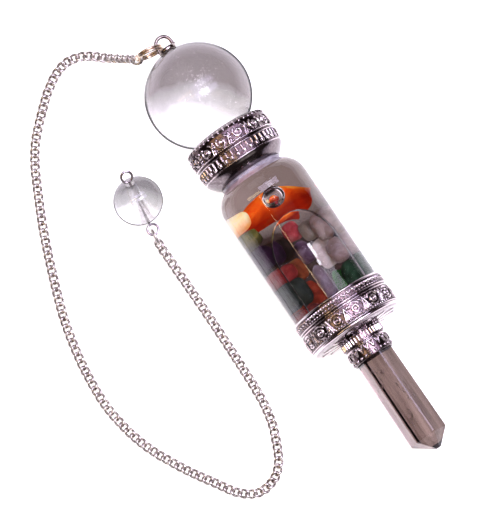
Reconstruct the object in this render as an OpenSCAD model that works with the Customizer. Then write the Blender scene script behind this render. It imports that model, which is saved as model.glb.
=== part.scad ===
// Gem chamber pendulum pendant, lying on a surface with its chain laid out beside it.
// The pendant's own axis runs along +X, from the ball (low X) to the crystal point (high X).
// Lengths along that axis are counted from the ball's centre and are called stations.

/* [Ball] */
// Diameter of the crystal ball
ball_d = 20; // [17:0.5:23]
// Depth of the blind hole for the bail's post
post_hole_l = 3.4; // [2.6:0.1:5]

/* [Bail] */
// Diameter of the disc on the ball's pole
disc_d = 3.6; // [3:0.1:5]
// Thickness of the disc
disc_t = 0.75; // [0.6:0.05:1.2]
// Diameter of the post in the ball
post_d = 1.1; // [0.8:0.1:1.6]
// Length of the post
post_l = 3; // [2:0.1:5]
// Outer width of the eye
eye_d = 3.7; // [3.4:0.1:4.4]
// Diameter of the eye's wire
eye_wire = 0.7; // [0.5:0.05:0.8]
// Length of the eye's straight legs above the disc
eye_leg = 0.75; // [0.7:0.05:1.4]

/* [Split ring] */
// Outer diameter of the split ring
ring_d = 5.6; // [5.2:0.1:6.5]
// Diameter of the split ring's wire
ring_wire = 0.5; // [0.4:0.05:0.55]
// Distance between its two coils
coil_pitch = 0.46; // [0.4:0.02:0.5]
// How far the ring's centre hangs below the eye
ring_drop = 0.9; // [0.8:0.05:1]
// Turn of the ring about the vertical, away from straight across the pendant
ring_turn = 9; // [5:1:14]
// Lean of the ring's top away from the ball
ring_lean = 2; // [0:1:6]
// Where the chain hangs on the ring, below its side
ring_hang = 32; // [20:1:45]

/* [Chain] */
// Outer width of a link
link_w = 1.78; // [1.7:0.02:1.9]
// Diameter of a link's wire
link_wire = 0.36; // [0.3:0.02:0.38]
// Distance from one link to the next
link_pitch = 1.42; // [1.38:0.02:1.6]
// Twist of a link's ends either side of its middle
link_twist = 48; // [44:1:52]
// Size of the two end links over a common one
end_link_grow = 1.4; // [1.35:0.01:1.5]
// Roll of the first link, which hangs on the split ring
first_link_roll = 15; // [5:1:20]
// Roll of the untwisted link that hangs on the bead's loop
hook_link_roll = 90; // [60:1:120]
// Roll of the link next to it
last_link_roll = -30; // [-50:1:-20]
// How many links share out each roll
roll_links = 6; // [5:1:12]

/* [Bead] */
// Diameter of the clear bead
bead_d = 9.2; // [8.6:0.1:10]
// Diameter of the bead's drilled hole
bead_hole_d = 1.8; // [1.2:0.1:2.2]
// Bead's centre along the pendant, from the ball's centre
bead_x = 9.4; // [8:0.1:12]
// Bead's centre across the pendant, from the ball's centre
bead_y = -19.6; // [-24:0.1:-18]
// Slope of the drilled hole, up towards the ball's end
bead_slope = 48; // [45:1:52]
// Bearing of the drilled hole, from +X towards +Y
bead_bearing = -4; // [-12:1:4]
// Diameter of the bead's wire
loop_wire = 0.5; // [0.4:0.05:0.6]
// Outer diameter of the wire's two loops
loop_d = 2.56; // [2.4:0.02:3]
// Slope of the upper loop
upper_loop_slope = 25; // [15:1:50]
// Length of the wire between the bead and the lower loop
loop_neck = 1.1; // [0.8:0.1:2]
// Bearing of the lower loop's side where the chain hangs
hook_bearing = -22; // [-30:1:-10]

/* [Collar] */
// Diameter of the collar's band
collar_d = 16.5; // [16:0.1:19]
// Diameter of the mouth round the ball
mouth_d = 12.2; // [11.6:0.1:13]
// Length of the rounded upper lip
lip_l = 1.3; // [1:0.1:2]
// Length of the patterned band
collar_band_l = 5.9; // [5:0.1:8]
// Length of the plain tapered underside
taper_l = 2.1; // [1.5:0.1:3]
// Depth of the pocket for the glass neck
neck_pocket = 4; // [3:0.1:4.4]

/* [Glass chamber] */
// How much wider the glass body is than the collar's band
glass_over = 1.2; // [0.6:0.1:2]
// Diameter of the glass neck
neck_d = 12; // [11:0.1:12.4]
// Thickness of the glass
glass_wall = 1; // [0.8:0.05:1.3]
// Length of the neck that shows
neck_l = 0.7; // [0.4:0.1:2]
// Length of the rounded shoulder
shoulder_l = 4.6; // [4:0.1:7]
// Length of the straight body, down to the flat bottom
body_l = 28.8; // [26:0.1:36]

/* [Base cap] */
// How much wider the base cap's band is than the glass body
cap_over = 0.8; // [0.8:0.1:2]
// Length of the base cap
cap_l = 7.3; // [6.6:0.1:9]
// Thickness of the base cap's closed end
cap_floor = 1.5; // [1.2:0.1:2.5]

/* [Ferrule] */
// Diameter of the ferrule that holds the crystal
ferrule_d = 8.3; // [8.2:0.1:10]
// Length of the ferrule
ferrule_l = 5.3; // [4.5:0.1:8]
// Thickness of its closed end
ferrule_floor = 1; // [0.8:0.1:1.5]

/* [Crystal point] */
// Width of the crystal across its corners, in the ferrule
point_root_w = 7.5; // [7:0.1:7.5]
// Width of the crystal across its corners, at its shoulder
point_w = 7.85; // [7.6:0.05:9]
// Length of the crystal that shows, down to its shoulder
point_l = 17.8; // [14:0.1:30]
// Length of the six-sided tip
tip_l = 2.8; // [2:0.1:5]
// Turn of the crystal's edges about the axis
point_turn = 15; // [0:1:59]

/* [Relief] */
// Height of the raised pattern on the bands
relief_h = 0.22; // [0.15:0.01:0.3]
// Motifs round the collar
collar_motifs = 14; // [10:1:18]
// Tall teeth round the collar
collar_teeth = 46; // [36:1:56]
// Motifs round the base cap
cap_motifs = 14; // [10:1:18]
// Beads round the base cap's upper edge
cap_beads = 52; // [40:1:60]
// Petals on the base cap's end
cap_petals = 12; // [8:1:16]
// Beads round the ferrule
ferrule_beads = 22; // [16:1:26]

/* [Clearances] */
// Gap between the ball and the collar
ball_gap = 0.15; // [0.1:0.05:0.3]
// Gap round each glued or seated piece
seat_gap = 0.1; // [0.05:0.05:0.2]
// Gap between the split ring and the eye
ring_gap = 0.25; // [0.2:0.01:0.3]
// Play between wires that hook into each other
link_gap = 0.2; // [0.18:0.01:0.24]
// Gap between a gem chip and the glass
chip_gap = 0.12; // [0.1:0.01:0.2]

/* [Hidden] */
CHIP_NODES = [
    "chip_citrine", "chip_olive_jade", "chip_sodalite", "chip_red_jasper", "chip_aventurine",
    "chip_mahogany", "chip_carnelian", "chip_rhodonite", "chip_moss_agate", "chip_fire_agate",
    "chip_red_agate", "chip_amethyst", "chip_lilac_quartz", "chip_grey_quartz", "chip_rose_quartz",
    "chip_jade", "chip_dark_jade", "chip_mauve_quartz", "chip_ice_quartz"
];

// Gem chips. Where each lies: share of the cavity's length from the bottom of the neck, and
// degrees round the axis from straight down towards +Y. How big it is: half its length, half its
// width and half its thickness as shares of the cavity's radius. Then its spin, its seed, how far
// its two sides bend towards the point, and how much its +Y side is shorter than its middle.
chip_table = [
    //       place  round   length width  thick  spin  seed  bend  taper
    ["chip_citrine",      0.181, -58, 0.210, 0.222, 0.265, 4, 1, 0, 0],
    ["chip_olive_jade",   0.296, -60, 0.212, 0.222, 0.265, -3, 2, 0, 0],
    ["chip_sodalite",     0.431, -58, 0.300, 0.222, 0.270, 2, 3, 0, 0],
    ["chip_red_jasper",   0.567, -58, 0.190, 0.220, 0.265, -3, 4, 0, 0],
    ["chip_aventurine",   0.699, -58, 0.330, 0.222, 0.270, -2, 5, 0, 0],
    ["chip_mahogany",     0.862, -58, 0.285, 0.222, 0.270, 2, 6, 0, 0],
    ["chip_carnelian",    0.192, 9, 0.340, 0.600, 0.190, 20, 7, 0.42, 0.30],
    ["chip_rhodonite",    0.365, 6.5, 0.222, 0.200, 0.265, 2, 8, 0, 0],
    ["chip_moss_agate",   0.433, -25, 0.280, 0.195, 0.255, 3, 9, 0, 0],
    ["chip_fire_agate",   0.579, -25, 0.255, 0.197, 0.265, 1, 10, 0, 0],
    ["chip_red_agate",    0.790, -25, 0.540, 0.197, 0.265, -1, 11, 0, 0],
    ["chip_amethyst",     0.506, 6.5, 0.275, 0.198, 0.270, -2, 12, 0, 0],
    ["chip_lilac_quartz", 0.768, 6.5, 0.660, 0.198, 0.265, 1, 13, 0, 0],
    ["chip_grey_quartz",  0.418, 39, 0.222, 0.203, 0.260, -3, 14, 0, 0],
    ["chip_rose_quartz",  0.579, 39, 0.375, 0.205, 0.265, 2, 15, 0, 0],
    ["chip_jade",         0.806, 39, 0.430, 0.203, 0.260, 2, 16, 0, 0.25],
    ["chip_dark_jade",    0.808, 77, 0.430, 0.236, 0.250, -2, 17, 0, 0],
    ["chip_mauve_quartz", 0.620, 77, 0.290, 0.236, 0.250, 1, 18, 0, 0],
    ["chip_ice_quartz",   0.455, 77, 0.330, 0.236, 0.250, -4, 19, 0, 0]
];

// Chain's way over the surface, from the split ring round to the bead: along and across the
// pendant from the ball's centre, and height above where the chain lies flat.
chain_route = [
    [-13.8, -6.7, 5.1], [-15.5, -8.2, 2.8], [-17, -9.7, 1.3], [-18.6, -11.3, 0.5],
    [-19.9, -13.5, 0.1], [-20.3, -16, 0], [-19.6, -18.6, 0], [-18.3, -20.8, 0], [-16.5, -23.2, 0],
    [-11.9, -28.1, 0], [-8.7, -30.6, 0], [-4.8, -32.8, 0], [4.9, -37.4, 0], [17, -42, 0],
    [23.9, -43.9, 0], [31.3, -45.1, 0], [39, -45.3, 0], [47.3, -43.6, 0], [54.9, -40.1, 0],
    [60.6, -36.6, 0], [64.4, -34.1, 0], [66.5, -31.1, 0], [66.2, -27.6, 0], [64.1, -24.9, 0],
    [60.5, -23, 0], [56.3, -21.5, 0], [50.2, -20.7, 0], [36.2, -20.4, 0], [22.7, -20.5, 0.05],
    [18.6, -20.6, 0.35]
];

fine = 96;
wire_fn = 32;
boss_fn = 24;
tiny = 0.02;
silver = [0.78, 0.76, 0.77];
clear = [0.86, 0.87, 0.9, 0.5];

// Radii
ball_r = ball_d / 2;
mouth_r = mouth_d / 2;
collar_r = collar_d / 2;
glass_r = (collar_d + glass_over) / 2;
neck_r = neck_d / 2;
cavity_r = glass_r - glass_wall;
cap_r = glass_r + cap_over / 2;
ferrule_r = ferrule_d / 2;
bead_r = bead_d / 2;
eye_r = (eye_d - eye_wire) / 2;
ring_r = (ring_d - ring_wire) / 2;
loop_r = (loop_d - loop_wire) / 2;

// Stations along the pendant's axis
collar_s = sqrt(pow(ball_r, 2) - pow(mouth_r - ball_gap, 2));
band_s = collar_s + lip_l;
taper_s = band_s + collar_band_l;
collar_end = taper_s + taper_l;
shoulder_s = collar_end + neck_l;
body_s = shoulder_s + shoulder_l;
bottom_s = body_s + body_l;
cap_end = bottom_s + seat_gap + cap_floor;
cap_s = cap_end - cap_l;
ferrule_s = cap_end + seat_gap / 2;
ferrule_end = ferrule_s + ferrule_l;
point_s = ferrule_s + ferrule_floor + seat_gap;
point_shoulder = ferrule_end + point_l;
tip_s = point_shoulder + tip_l;

// Lean of the axis: the ball and the base cap's outer edge both touch the surface
rim_r = cap_r + relief_h;
rim_s = cap_s + 0.8 * cap_l;
axis_lean = asin(ball_r / norm([rim_s, rim_r])) - atan2(rim_r, rim_s);

// A point given along the pendant's axis, as it lies
function laid(p) = [
    p[0] * cos(axis_lean) + p[2] * sin(axis_lean),
    p[1],
    p[2] * cos(axis_lean) - p[0] * sin(axis_lean)
];
function unit(v) = v / norm(v);

// Split ring: it hangs through the eye, its near side against the eye's inner edge
eye_s = -(ball_r + tiny + disc_t + eye_leg);
ring_across = [sin(ring_turn), cos(ring_turn), 0];
ring_up = [-sin(ring_lean) * cos(ring_turn), sin(ring_lean) * sin(ring_turn), cos(ring_lean)];
ring_reach = sqrt(pow(ring_r, 2) - pow(ring_drop, 2));
ring_inset = eye_r - eye_wire / 2 - ring_wire / 2 - ring_gap;
ring_pass = [eye_s, -ring_inset, 0];
ring_centre = ring_pass - ring_reach * ring_across - ring_drop * ring_up;
ring_hook = ring_centre - ring_r * (cos(ring_hang) * ring_across + sin(ring_hang) * ring_up);

// Links: centre line of the wire
link_a = (link_pitch + link_wire + link_gap) / 2;
link_b = (link_w - link_wire) / 2;
end_a = link_a * end_link_grow;
end_b = link_b * end_link_grow;
link_steps = 10;
wire_steps = 5;
// Height of a link's middle above the surface, at a twist and a roll about its length
function lie_at(b, twist, roll) =
    link_wire / 2 + b * max([for (t = [0 : 10 : 180]) abs(sin(t) * sin(twist * cos(t) + roll))]);
lie = lie_at(link_b, link_twist, 0);

// Bead's wire: it leaves the bead at both ends of the drilled hole
bead_at = [bead_x, bead_y, bead_r - ball_r];
bead_out = bead_r + loop_wire / 2 + seat_gap;
bearing = [cos(bead_bearing), sin(bead_bearing), 0];
up = [0, 0, 1];
lower_exit = bead_at + bead_out * (cos(bead_slope) * bearing - sin(bead_slope) * up);
upper_exit = bead_at - bead_out * (cos(bead_slope) * bearing - sin(bead_slope) * up);
lower_loop = lower_exit + (loop_neck + loop_r) * bearing;
upper_loop = upper_exit - loop_r * (cos(upper_loop_slope) * bearing - sin(upper_loop_slope) * up);

// Chain's centre line: a smooth curve through the chosen points
chain_start = laid(ring_hook);
loop_far = lower_loop + loop_r * [cos(hook_bearing), sin(hook_bearing), 0];
chain_end = [loop_far[0], loop_far[1], lie_at(end_b, 0, hook_link_roll) - ball_r];
route = concat(
    [chain_start],
    [for (p = chain_route) [p[0], p[1], p[2] + lie - ball_r]],
    [chain_end]
);
curve_steps = 10;
function on_curve(i, t) =
    let (
        a = route[max(i - 1, 0)], b = route[i],
        c = route[i + 1], d = route[min(i + 2, len(route) - 1)],
        bend = 2 * a - 5 * b + 4 * c - d,
        swing = 3 * b - a - 3 * c + d
    )
    b + ((c - a) * t + bend * t * t + swing * t * t * t) / 2;
rail = concat(
    [for (i = [0 : len(route) - 2]) for (j = [0 : curve_steps - 1]) on_curve(i, j / curve_steps)],
    [chain_end]
);
function rail_step(i) = i + 1 < len(rail) ? norm(rail[i + 1] - rail[i]) : 0;
run = [for (i = 0, d = 0; i < len(rail); d = d + rail_step(i), i = i + 1) d];
rail_tables = [for (c = [0 : 2]) [for (i = [0 : len(rail) - 1]) [run[i], rail[i][c]]]];
chain_l = run[len(run) - 1];
function at_run(d) = [
    lookup(d, rail_tables[0]), lookup(d, rail_tables[1]), max(lookup(d, rail_tables[2]), lie - ball_r)
];

// Links stand along the curve between the split ring and the bead's loop. Each end link hooks into
// its neighbour and into the piece it hangs on with a little more play than the common links have.
end_play = 1.7 * link_gap;
hang_play = 2 * link_gap;
end_step = end_a + link_a - link_wire - end_play;
first_at = end_a - ring_wire / 2 - link_wire / 2 - hang_play;
last_at = chain_l - (end_a - loop_wire / 2 - link_wire / 2 - hang_play);
common_l = last_at - first_at - 2 * end_step;
link_gaps = round(common_l / link_pitch);
link_step = common_l / link_gaps;
link_places = [for (k = [0 : link_gaps]) first_at + end_step + k * link_step];
function ahead(d) = unit(at_run(d + link_a / 2) - at_run(d - link_a / 2));
function ease(t) = t <= 0 ? 0 : t * t * (3 - 2 * t);
function roll_at(k) =
    first_link_roll * ease(1 - k / roll_links)
    + last_link_roll * ease(1 - (link_gaps - k) / roll_links);

// Middle of the whole thing, which becomes the origin
link_xs = [for (d = link_places) at_run(d)[0]];
link_ys = [for (d = link_places) at_run(d)[1]];
mid_x = (tip_s * cos(axis_lean) + min(link_xs) - link_w / 2) / 2;
mid_y = (ball_r + min(link_ys) - link_w / 2) / 2;

// Cavity of the glass, where the chips lie
cavity_s = shoulder_s;
cavity_l = bottom_s - glass_wall - cavity_s;

// Placing
module lie_down() {
    translate([-mid_x, -mid_y, ball_r]) children();
}
module pendant() {
    lie_down() rotate([0, axis_lean, 0]) children();
}
// Turned solid about the pendant's axis, from points of station and radius
module lathe(points) {
    rotate([0, 90, 0]) rotate_extrude($fn = fine) polygon([for (p = points) [p[1], p[0]]]);
}
// Child's +Z points out from the axis, at a station, a radius and a clock angle from the top
module around(s, r, clock) {
    rotate([-clock, 0, 0]) translate([s, 0, r]) children();
}
module wire_torus(r, wire) {
    rotate_extrude($fn = fine) translate([r, 0]) circle(d = wire, $fn = wire_fn);
}
// Stands a child's +Z along a direction
module point_along(v) {
    rotate([0, acos(v[2] / norm(v)), atan2(v[1], v[0])]) children();
}
module rod(a, b, d) {
    translate(a) point_along(b - a) cylinder(d = d, h = norm(b - a), $fn = wire_fn);
}

// Relief
module teeth(s, r, count, long, wide) {
    for (k = [0 : count - 1])
        around(s, r, 360 * k / count)
            translate([0, -wide / 2, -relief_h]) cube([long, wide, 2 * relief_h]);
}
module beads(s, r, count, d) {
    for (k = [0 : count - 1])
        around(s, r + relief_h - d / 2, 360 * (k + 0.5) / count) sphere(d = d, $fn = boss_fn);
}
// A ring with a boss in it, and a leaf beside it
module motif(s, r, long, clock, step) {
    around(s, r, clock) translate([0, 0, -relief_h]) {
        difference() {
            cylinder(d = long, h = 2 * relief_h, $fn = wire_fn);
            translate([0, 0, relief_h - tiny])
                cylinder(d = long - 3 * relief_h, h = 2 * relief_h, $fn = wire_fn);
        }
        translate([0, 0, 2 * relief_h - long * 0.17]) sphere(d = long * 0.34, $fn = boss_fn);
    }
    around(s, r, clock + step / 2) translate([0, 0, -relief_h]) intersection() {
        translate([0, long * 0.45, 0]) cylinder(r = long * 0.72, h = 2 * relief_h, $fn = wire_fn);
        translate([0, -long * 0.45, 0]) cylinder(r = long * 0.72, h = 2 * relief_h, $fn = wire_fn);
    }
}
module motifs(s, r, count, long) {
    for (k = [0 : count - 1]) motif(s, r, long, 360 * k / count, 360 / count);
}

// Pieces
module crystal_ball() {
    color(clear) pendant() difference() {
        rotate([0, -90, 0]) sphere(r = ball_r, $fn = fine);
        rotate([0, -90, 0]) translate([0, 0, ball_r - post_hole_l])
            cylinder(d = post_d + 2 * seat_gap, h = post_hole_l + 1, $fn = wire_fn);
    }
}
module peg_bail() {
    color(silver) pendant() {
        rotate([0, -90, 0]) {
            translate([0, 0, ball_r + tiny]) cylinder(d = disc_d, h = disc_t, $fn = fine);
            translate([0, 0, ball_r + tiny - post_l])
                cylinder(d = post_d, h = post_l + disc_t / 2, $fn = wire_fn);
        }
        translate([eye_s, 0, 0]) {
            rotate([0, 0, 90]) rotate_extrude(angle = 180, $fn = fine)
                translate([eye_r, 0]) circle(d = eye_wire, $fn = wire_fn);
            for (side = [-1, 1]) translate([0, side * eye_r, 0]) rotate([0, 90, 0])
                cylinder(d = eye_wire, h = eye_leg + disc_t / 2, $fn = wire_fn);
        }
    }
}
module split_ring() {
    color([0.74, 0.66, 0.56]) pendant() translate(ring_centre)
        multmatrix([
            [ring_across[0], ring_up[0], cross(ring_across, ring_up)[0], 0],
            [ring_across[1], ring_up[1], cross(ring_across, ring_up)[1], 0],
            [ring_across[2], ring_up[2], cross(ring_across, ring_up)[2], 0],
            [0, 0, 0, 1]
        ]) rotate_extrude($fn = fine)
            for (side = [-0.5, 0.5]) translate([ring_r, side * coil_pitch])
                circle(d = ring_wire, $fn = wire_fn);
}

// One twisted oval link: rings of points round its wire
function link_core(t, a, b, twist) =
    let (roll = twist * cos(t)) [a * cos(t), b * sin(t) * cos(roll), b * sin(t) * sin(roll)];
function link_points(a, b, twist) = [
    for (i = [0 : link_steps - 1])
        let (
            t = 360 * (i + 0.5) / link_steps,
            core = link_core(t, a, b, twist),
            along = unit(link_core(t + 1, a, b, twist) - link_core(t - 1, a, b, twist)),
            side = unit(cross(along, core)),
            out = cross(side, along)
        )
        for (j = [0 : wire_steps - 1])
            let (turn = 360 * j / wire_steps)
            core + link_wire / 2 * (cos(turn) * out + sin(turn) * side)
];
function link_faces() = [
    for (i = [0 : link_steps - 1]) for (j = [0 : wire_steps - 1]) for (half = [0, 1])
        let (
            i2 = (i + 1) % link_steps, j2 = (j + 1) % wire_steps,
            p = i * wire_steps + j, q = i * wire_steps + j2,
            r = i2 * wire_steps + j2, s = i2 * wire_steps + j
        )
        half == 0 ? [p, q, r] : [p, r, s]
];
module link(d, a, b, twist, roll, rise) {
    at = at_run(d) + rise * up;
    x = ahead(d);
    flat_y = unit(cross(up, x));
    flat_z = cross(x, flat_y);
    y = cos(roll) * flat_y + sin(roll) * flat_z;
    z = cross(x, y);
    polyhedron(
        points = [for (p = link_points(a, b, twist)) at + p[0] * x + p[1] * y + p[2] * z],
        faces = link_faces(),
        convexity = 4
    );
}
module chain() {
    color([0.8, 0.78, 0.79]) lie_down() {
        link(first_at, end_a, end_b, link_twist, first_link_roll, 0);
        for (k = [0 : link_gaps])
            let (roll = roll_at(k), rise = lie_at(link_b, link_twist, roll) - lie)
            link(link_places[k], link_a, link_b, link_twist, roll, rise);
        link(last_at, end_a, end_b, 0, hook_link_roll, chain_end[2] - at_run(last_at)[2]);
    }
}

module bead() {
    color(clear) lie_down() translate(bead_at) rotate([0, 0, bead_bearing])
        rotate([0, 90 + bead_slope, 0]) difference() {
            sphere(r = bead_r, $fn = fine);
            cylinder(d = bead_hole_d, h = 2 * bead_d, center = true, $fn = wire_fn);
        }
}
module bead_wire() {
    color(silver) lie_down() {
        rod(upper_exit, lower_exit, loop_wire);
        rod(lower_exit, lower_loop - loop_r * bearing, loop_wire);
        for (p = [upper_exit, lower_exit]) translate(p) sphere(d = 1.08 * loop_wire, $fn = wire_fn);
        translate(lower_loop) wire_torus(loop_r, loop_wire);
        translate(upper_loop) rotate([0, 0, bead_bearing]) rotate([0, upper_loop_slope, 0])
            wire_torus(loop_r, loop_wire);
    }
}

module collar() {
    groove_s = band_s + 0.52 * collar_band_l;
    groove = relief_h * 1.2;
    pocket_s = collar_end - neck_pocket;
    bowl_r = ball_r + ball_gap;
    color(silver) pendant() {
        difference() {
            lathe([
                [collar_s, 0], [collar_s, mouth_r + 0.15], [collar_s + 0.12 * lip_l, mouth_r + 0.35],
                [collar_s + 0.35 * lip_l, mouth_r + 0.62 * (collar_r - mouth_r)],
                [collar_s + 0.65 * lip_l, mouth_r + 0.88 * (collar_r - mouth_r)], [band_s, collar_r],
                [groove_s - 2 * groove, collar_r], [groove_s - groove, collar_r - groove],
                [groove_s, collar_r - groove], [groove_s + groove, collar_r],
                [taper_s, collar_r - relief_h / 2], [taper_s + 0.2 * taper_l, collar_r - relief_h],
                [taper_s + 0.45 * taper_l, collar_r - 3 * relief_h],
                [collar_end, neck_r + 0.4], [collar_end, 0]
            ]);
            rotate([0, 90, 0]) sphere(r = bowl_r, $fn = fine);
            rotate([0, 90, 0]) translate([0, 0, pocket_s])
                cylinder(r = neck_r + seat_gap, h = neck_pocket + 1, $fn = fine);
        }
        motifs(band_s + 0.24 * collar_band_l, collar_r, collar_motifs, 0.4 * collar_band_l);
        teeth(groove_s + 0.1 * collar_band_l, collar_r, collar_teeth, 0.3 * collar_band_l, 0.45);
    }
}

module glass_chamber() {
    top_s = collar_end - neck_pocket + seat_gap;
    color([0.8, 0.74, 0.74, 0.35]) pendant() difference() {
        lathe([
            [top_s, 0], [top_s, neck_r], [collar_end + 0.1 * neck_l, neck_r],
            [collar_end + 0.25 * neck_l, neck_r + 0.2], [collar_end + 0.7 * neck_l, neck_r + 0.2],
            [shoulder_s, neck_r + 0.1],
            [shoulder_s + 0.18 * shoulder_l, neck_r + 0.5 * (glass_r - neck_r)],
            [shoulder_s + 0.42 * shoulder_l, neck_r + 0.8 * (glass_r - neck_r)],
            [shoulder_s + 0.7 * shoulder_l, neck_r + 0.95 * (glass_r - neck_r)],
            [body_s, glass_r], [bottom_s - 0.4, glass_r], [bottom_s, glass_r - 0.4], [bottom_s, 0]
        ]);
        lathe([
            [top_s - 1, 0], [top_s - 1, neck_r - glass_wall], [shoulder_s, neck_r - glass_wall],
            [shoulder_s + 0.26 * shoulder_l, neck_r - glass_wall + 0.5 * (glass_r - neck_r)],
            [shoulder_s + 0.5 * shoulder_l, neck_r - glass_wall + 0.8 * (glass_r - neck_r)],
            [shoulder_s + 0.75 * shoulder_l, neck_r - glass_wall + 0.95 * (glass_r - neck_r)],
            [body_s, cavity_r], [bottom_s - glass_wall, cavity_r], [bottom_s - glass_wall, 0]
        ]);
    }
}

// A tumbled chip: between an oval pebble and a block, its outer face bent along the glass. Points
// are given as station, angle round the axis and radius, from the chip's middle.
chip_lon = 10;
chip_lat = 7;
chip_blunt = 0.62;
chip_dent = 0.04;
function blunt(v) = sign(v) * pow(abs(v), chip_blunt);
function chip_swell(lon, lat, seed) =
    1 - chip_dent * (2 + sin(2 * lon + 47 * seed) + cos(3 * lon + 2 * lat + 71 * seed)) * cos(lat);
function chip_point(lon, lat, half, seed, bend, taper) =
    let (k = chip_swell(lon, lat, seed), wide = k * blunt(cos(lat)) * blunt(sin(lon)))
    [
        half[0] * k * blunt(sin(lat)) * (1 + taper * wide) + bend * wide * wide,
        half[1] * wide,
        half[2] * k * blunt(cos(lat)) * blunt(cos(lon))
    ];
function chip_points(half, seed, bend, taper) = concat(
    [chip_point(0, -90, half, seed, bend, taper)],
    [
        for (i = [1 : chip_lat]) for (j = [0 : chip_lon - 1])
            let (lon = 360 * (j + 0.5 * (i % 2)) / chip_lon)
            chip_point(lon, -90 + 180 * i / (chip_lat + 1), half, seed, bend, taper)
    ],
    [chip_point(0, 90, half, seed, bend, taper)]
);
function chip_faces() =
    let (last = chip_lat * chip_lon + 1, last_row = last - chip_lon)
    concat(
        [for (j = [0 : chip_lon - 1]) [0, 1 + (j + 1) % chip_lon, 1 + j]],
        [
            for (i = [0 : chip_lat - 2]) for (j = [0 : chip_lon - 1]) for (half = [0, 1])
                let (
                    p = 1 + i * chip_lon + j, q = 1 + i * chip_lon + (j + 1) % chip_lon,
                    r = p + chip_lon, s = q + chip_lon
                )
                i % 2 == 0 ? (half == 0 ? [p, q, s] : [p, s, r]) : (half == 0 ? [p, q, r] : [q, s, r])
        ],
        [for (j = [0 : chip_lon - 1]) [last, last_row + j, last_row + (j + 1) % chip_lon]]
    );
module chip(name) {
    row = chip_table[search([name], chip_table)[0]];
    half = [for (k = [3 : 5]) row[k] * cavity_r];
    middle_r = cavity_r - chip_gap - half[2];
    points = [
        for (p = chip_points(half, row[7], row[8] * cavity_r, row[9]))
            let (
                along = p[0] * cos(row[6]) - p[1] * sin(row[6]),
                round = (p[0] * sin(row[6]) + p[1] * cos(row[6])) / middle_r * 180 / PI,
                clock = 180 - row[2] + round,
                r = middle_r + p[2]
            )
            [cavity_s + row[1] * cavity_l + along, r * sin(clock), r * cos(clock)]
    ];
    pendant() polyhedron(points = points, faces = chip_faces());
}

module chip_citrine() { color([0.95, 0.8, 0.45]) chip("chip_citrine"); }
module chip_olive_jade() { color([0.35, 0.42, 0.2]) chip("chip_olive_jade"); }
module chip_sodalite() { color([0.16, 0.12, 0.27]) chip("chip_sodalite"); }
module chip_red_jasper() { color([0.55, 0.12, 0.08]) chip("chip_red_jasper"); }
module chip_aventurine() { color([0.13, 0.22, 0.17]) chip("chip_aventurine"); }
module chip_mahogany() { color([0.45, 0.16, 0.1]) chip("chip_mahogany"); }
module chip_carnelian() { color([0.9, 0.32, 0.05]) chip("chip_carnelian"); }
module chip_rhodonite() { color([0.75, 0.25, 0.22]) chip("chip_rhodonite"); }
module chip_moss_agate() { color([0.22, 0.27, 0.22]) chip("chip_moss_agate"); }
module chip_fire_agate() { color([0.62, 0.2, 0.07]) chip("chip_fire_agate"); }
module chip_red_agate() { color([0.6, 0.17, 0.08]) chip("chip_red_agate"); }
module chip_amethyst() { color([0.42, 0.3, 0.55]) chip("chip_amethyst"); }
module chip_lilac_quartz() { color([0.7, 0.66, 0.76]) chip("chip_lilac_quartz"); }
module chip_grey_quartz() { color([0.62, 0.6, 0.55]) chip("chip_grey_quartz"); }
module chip_rose_quartz() { color([0.75, 0.66, 0.68]) chip("chip_rose_quartz"); }
module chip_jade() { color([0.14, 0.4, 0.16]) chip("chip_jade"); }
module chip_dark_jade() { color([0.08, 0.3, 0.13]) chip("chip_dark_jade"); }
module chip_mauve_quartz() { color([0.72, 0.62, 0.66]) chip("chip_mauve_quartz"); }
module chip_ice_quartz() { color([0.78, 0.72, 0.74]) chip("chip_ice_quartz"); }

module base_cap() {
    bore_r = glass_r + seat_gap;
    line = relief_h;
    petal_r = 0.4 * (cap_r - ferrule_r);
    petal_off = 0.6 * petal_r;
    ridge_s = cap_s + 0.34 * cap_l;
    foot_s = cap_s + 0.84 * cap_l;
    color(silver) pendant() {
        difference() {
            lathe([
                [cap_s, 0], [cap_s, cap_r - 0.1], [cap_s + 0.1, cap_r],
                [ridge_s - 2 * line, cap_r], [ridge_s - line, cap_r - line], [ridge_s, cap_r - line],
                [ridge_s + line, cap_r], [foot_s - line, cap_r], [foot_s, cap_r - line],
                [foot_s + line, cap_r - line], [foot_s + 2 * line, cap_r - line / 2],
                [cap_end - 0.4, cap_r - 0.3], [cap_end - 0.12, cap_r - 0.7], [cap_end, cap_r - 1.3],
                [cap_end, 0]
            ]);
            rotate([0, 90, 0]) translate([0, 0, cap_s - 1])
                cylinder(r = bore_r, h = bottom_s + seat_gap - cap_s + 1, $fn = fine);
        }
        beads(cap_s + 0.09 * cap_l, cap_r, cap_beads, 0.1 * cap_l);
        motifs(cap_s + 0.6 * cap_l, cap_r, cap_motifs, 0.27 * cap_l);
        for (k = [0 : cap_petals - 1]) rotate([-360 * (k + 0.5) / cap_petals, 0, 0])
            translate([cap_end - relief_h, 0, (cap_r + ferrule_r) / 2]) rotate([0, 90, 0])
                intersection() {
                    translate([0, petal_off, 0]) cylinder(r = petal_r, h = 2 * relief_h, $fn = wire_fn);
                    translate([0, -petal_off, 0]) cylinder(r = petal_r, h = 2 * relief_h, $fn = wire_fn);
                }
    }
}

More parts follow.
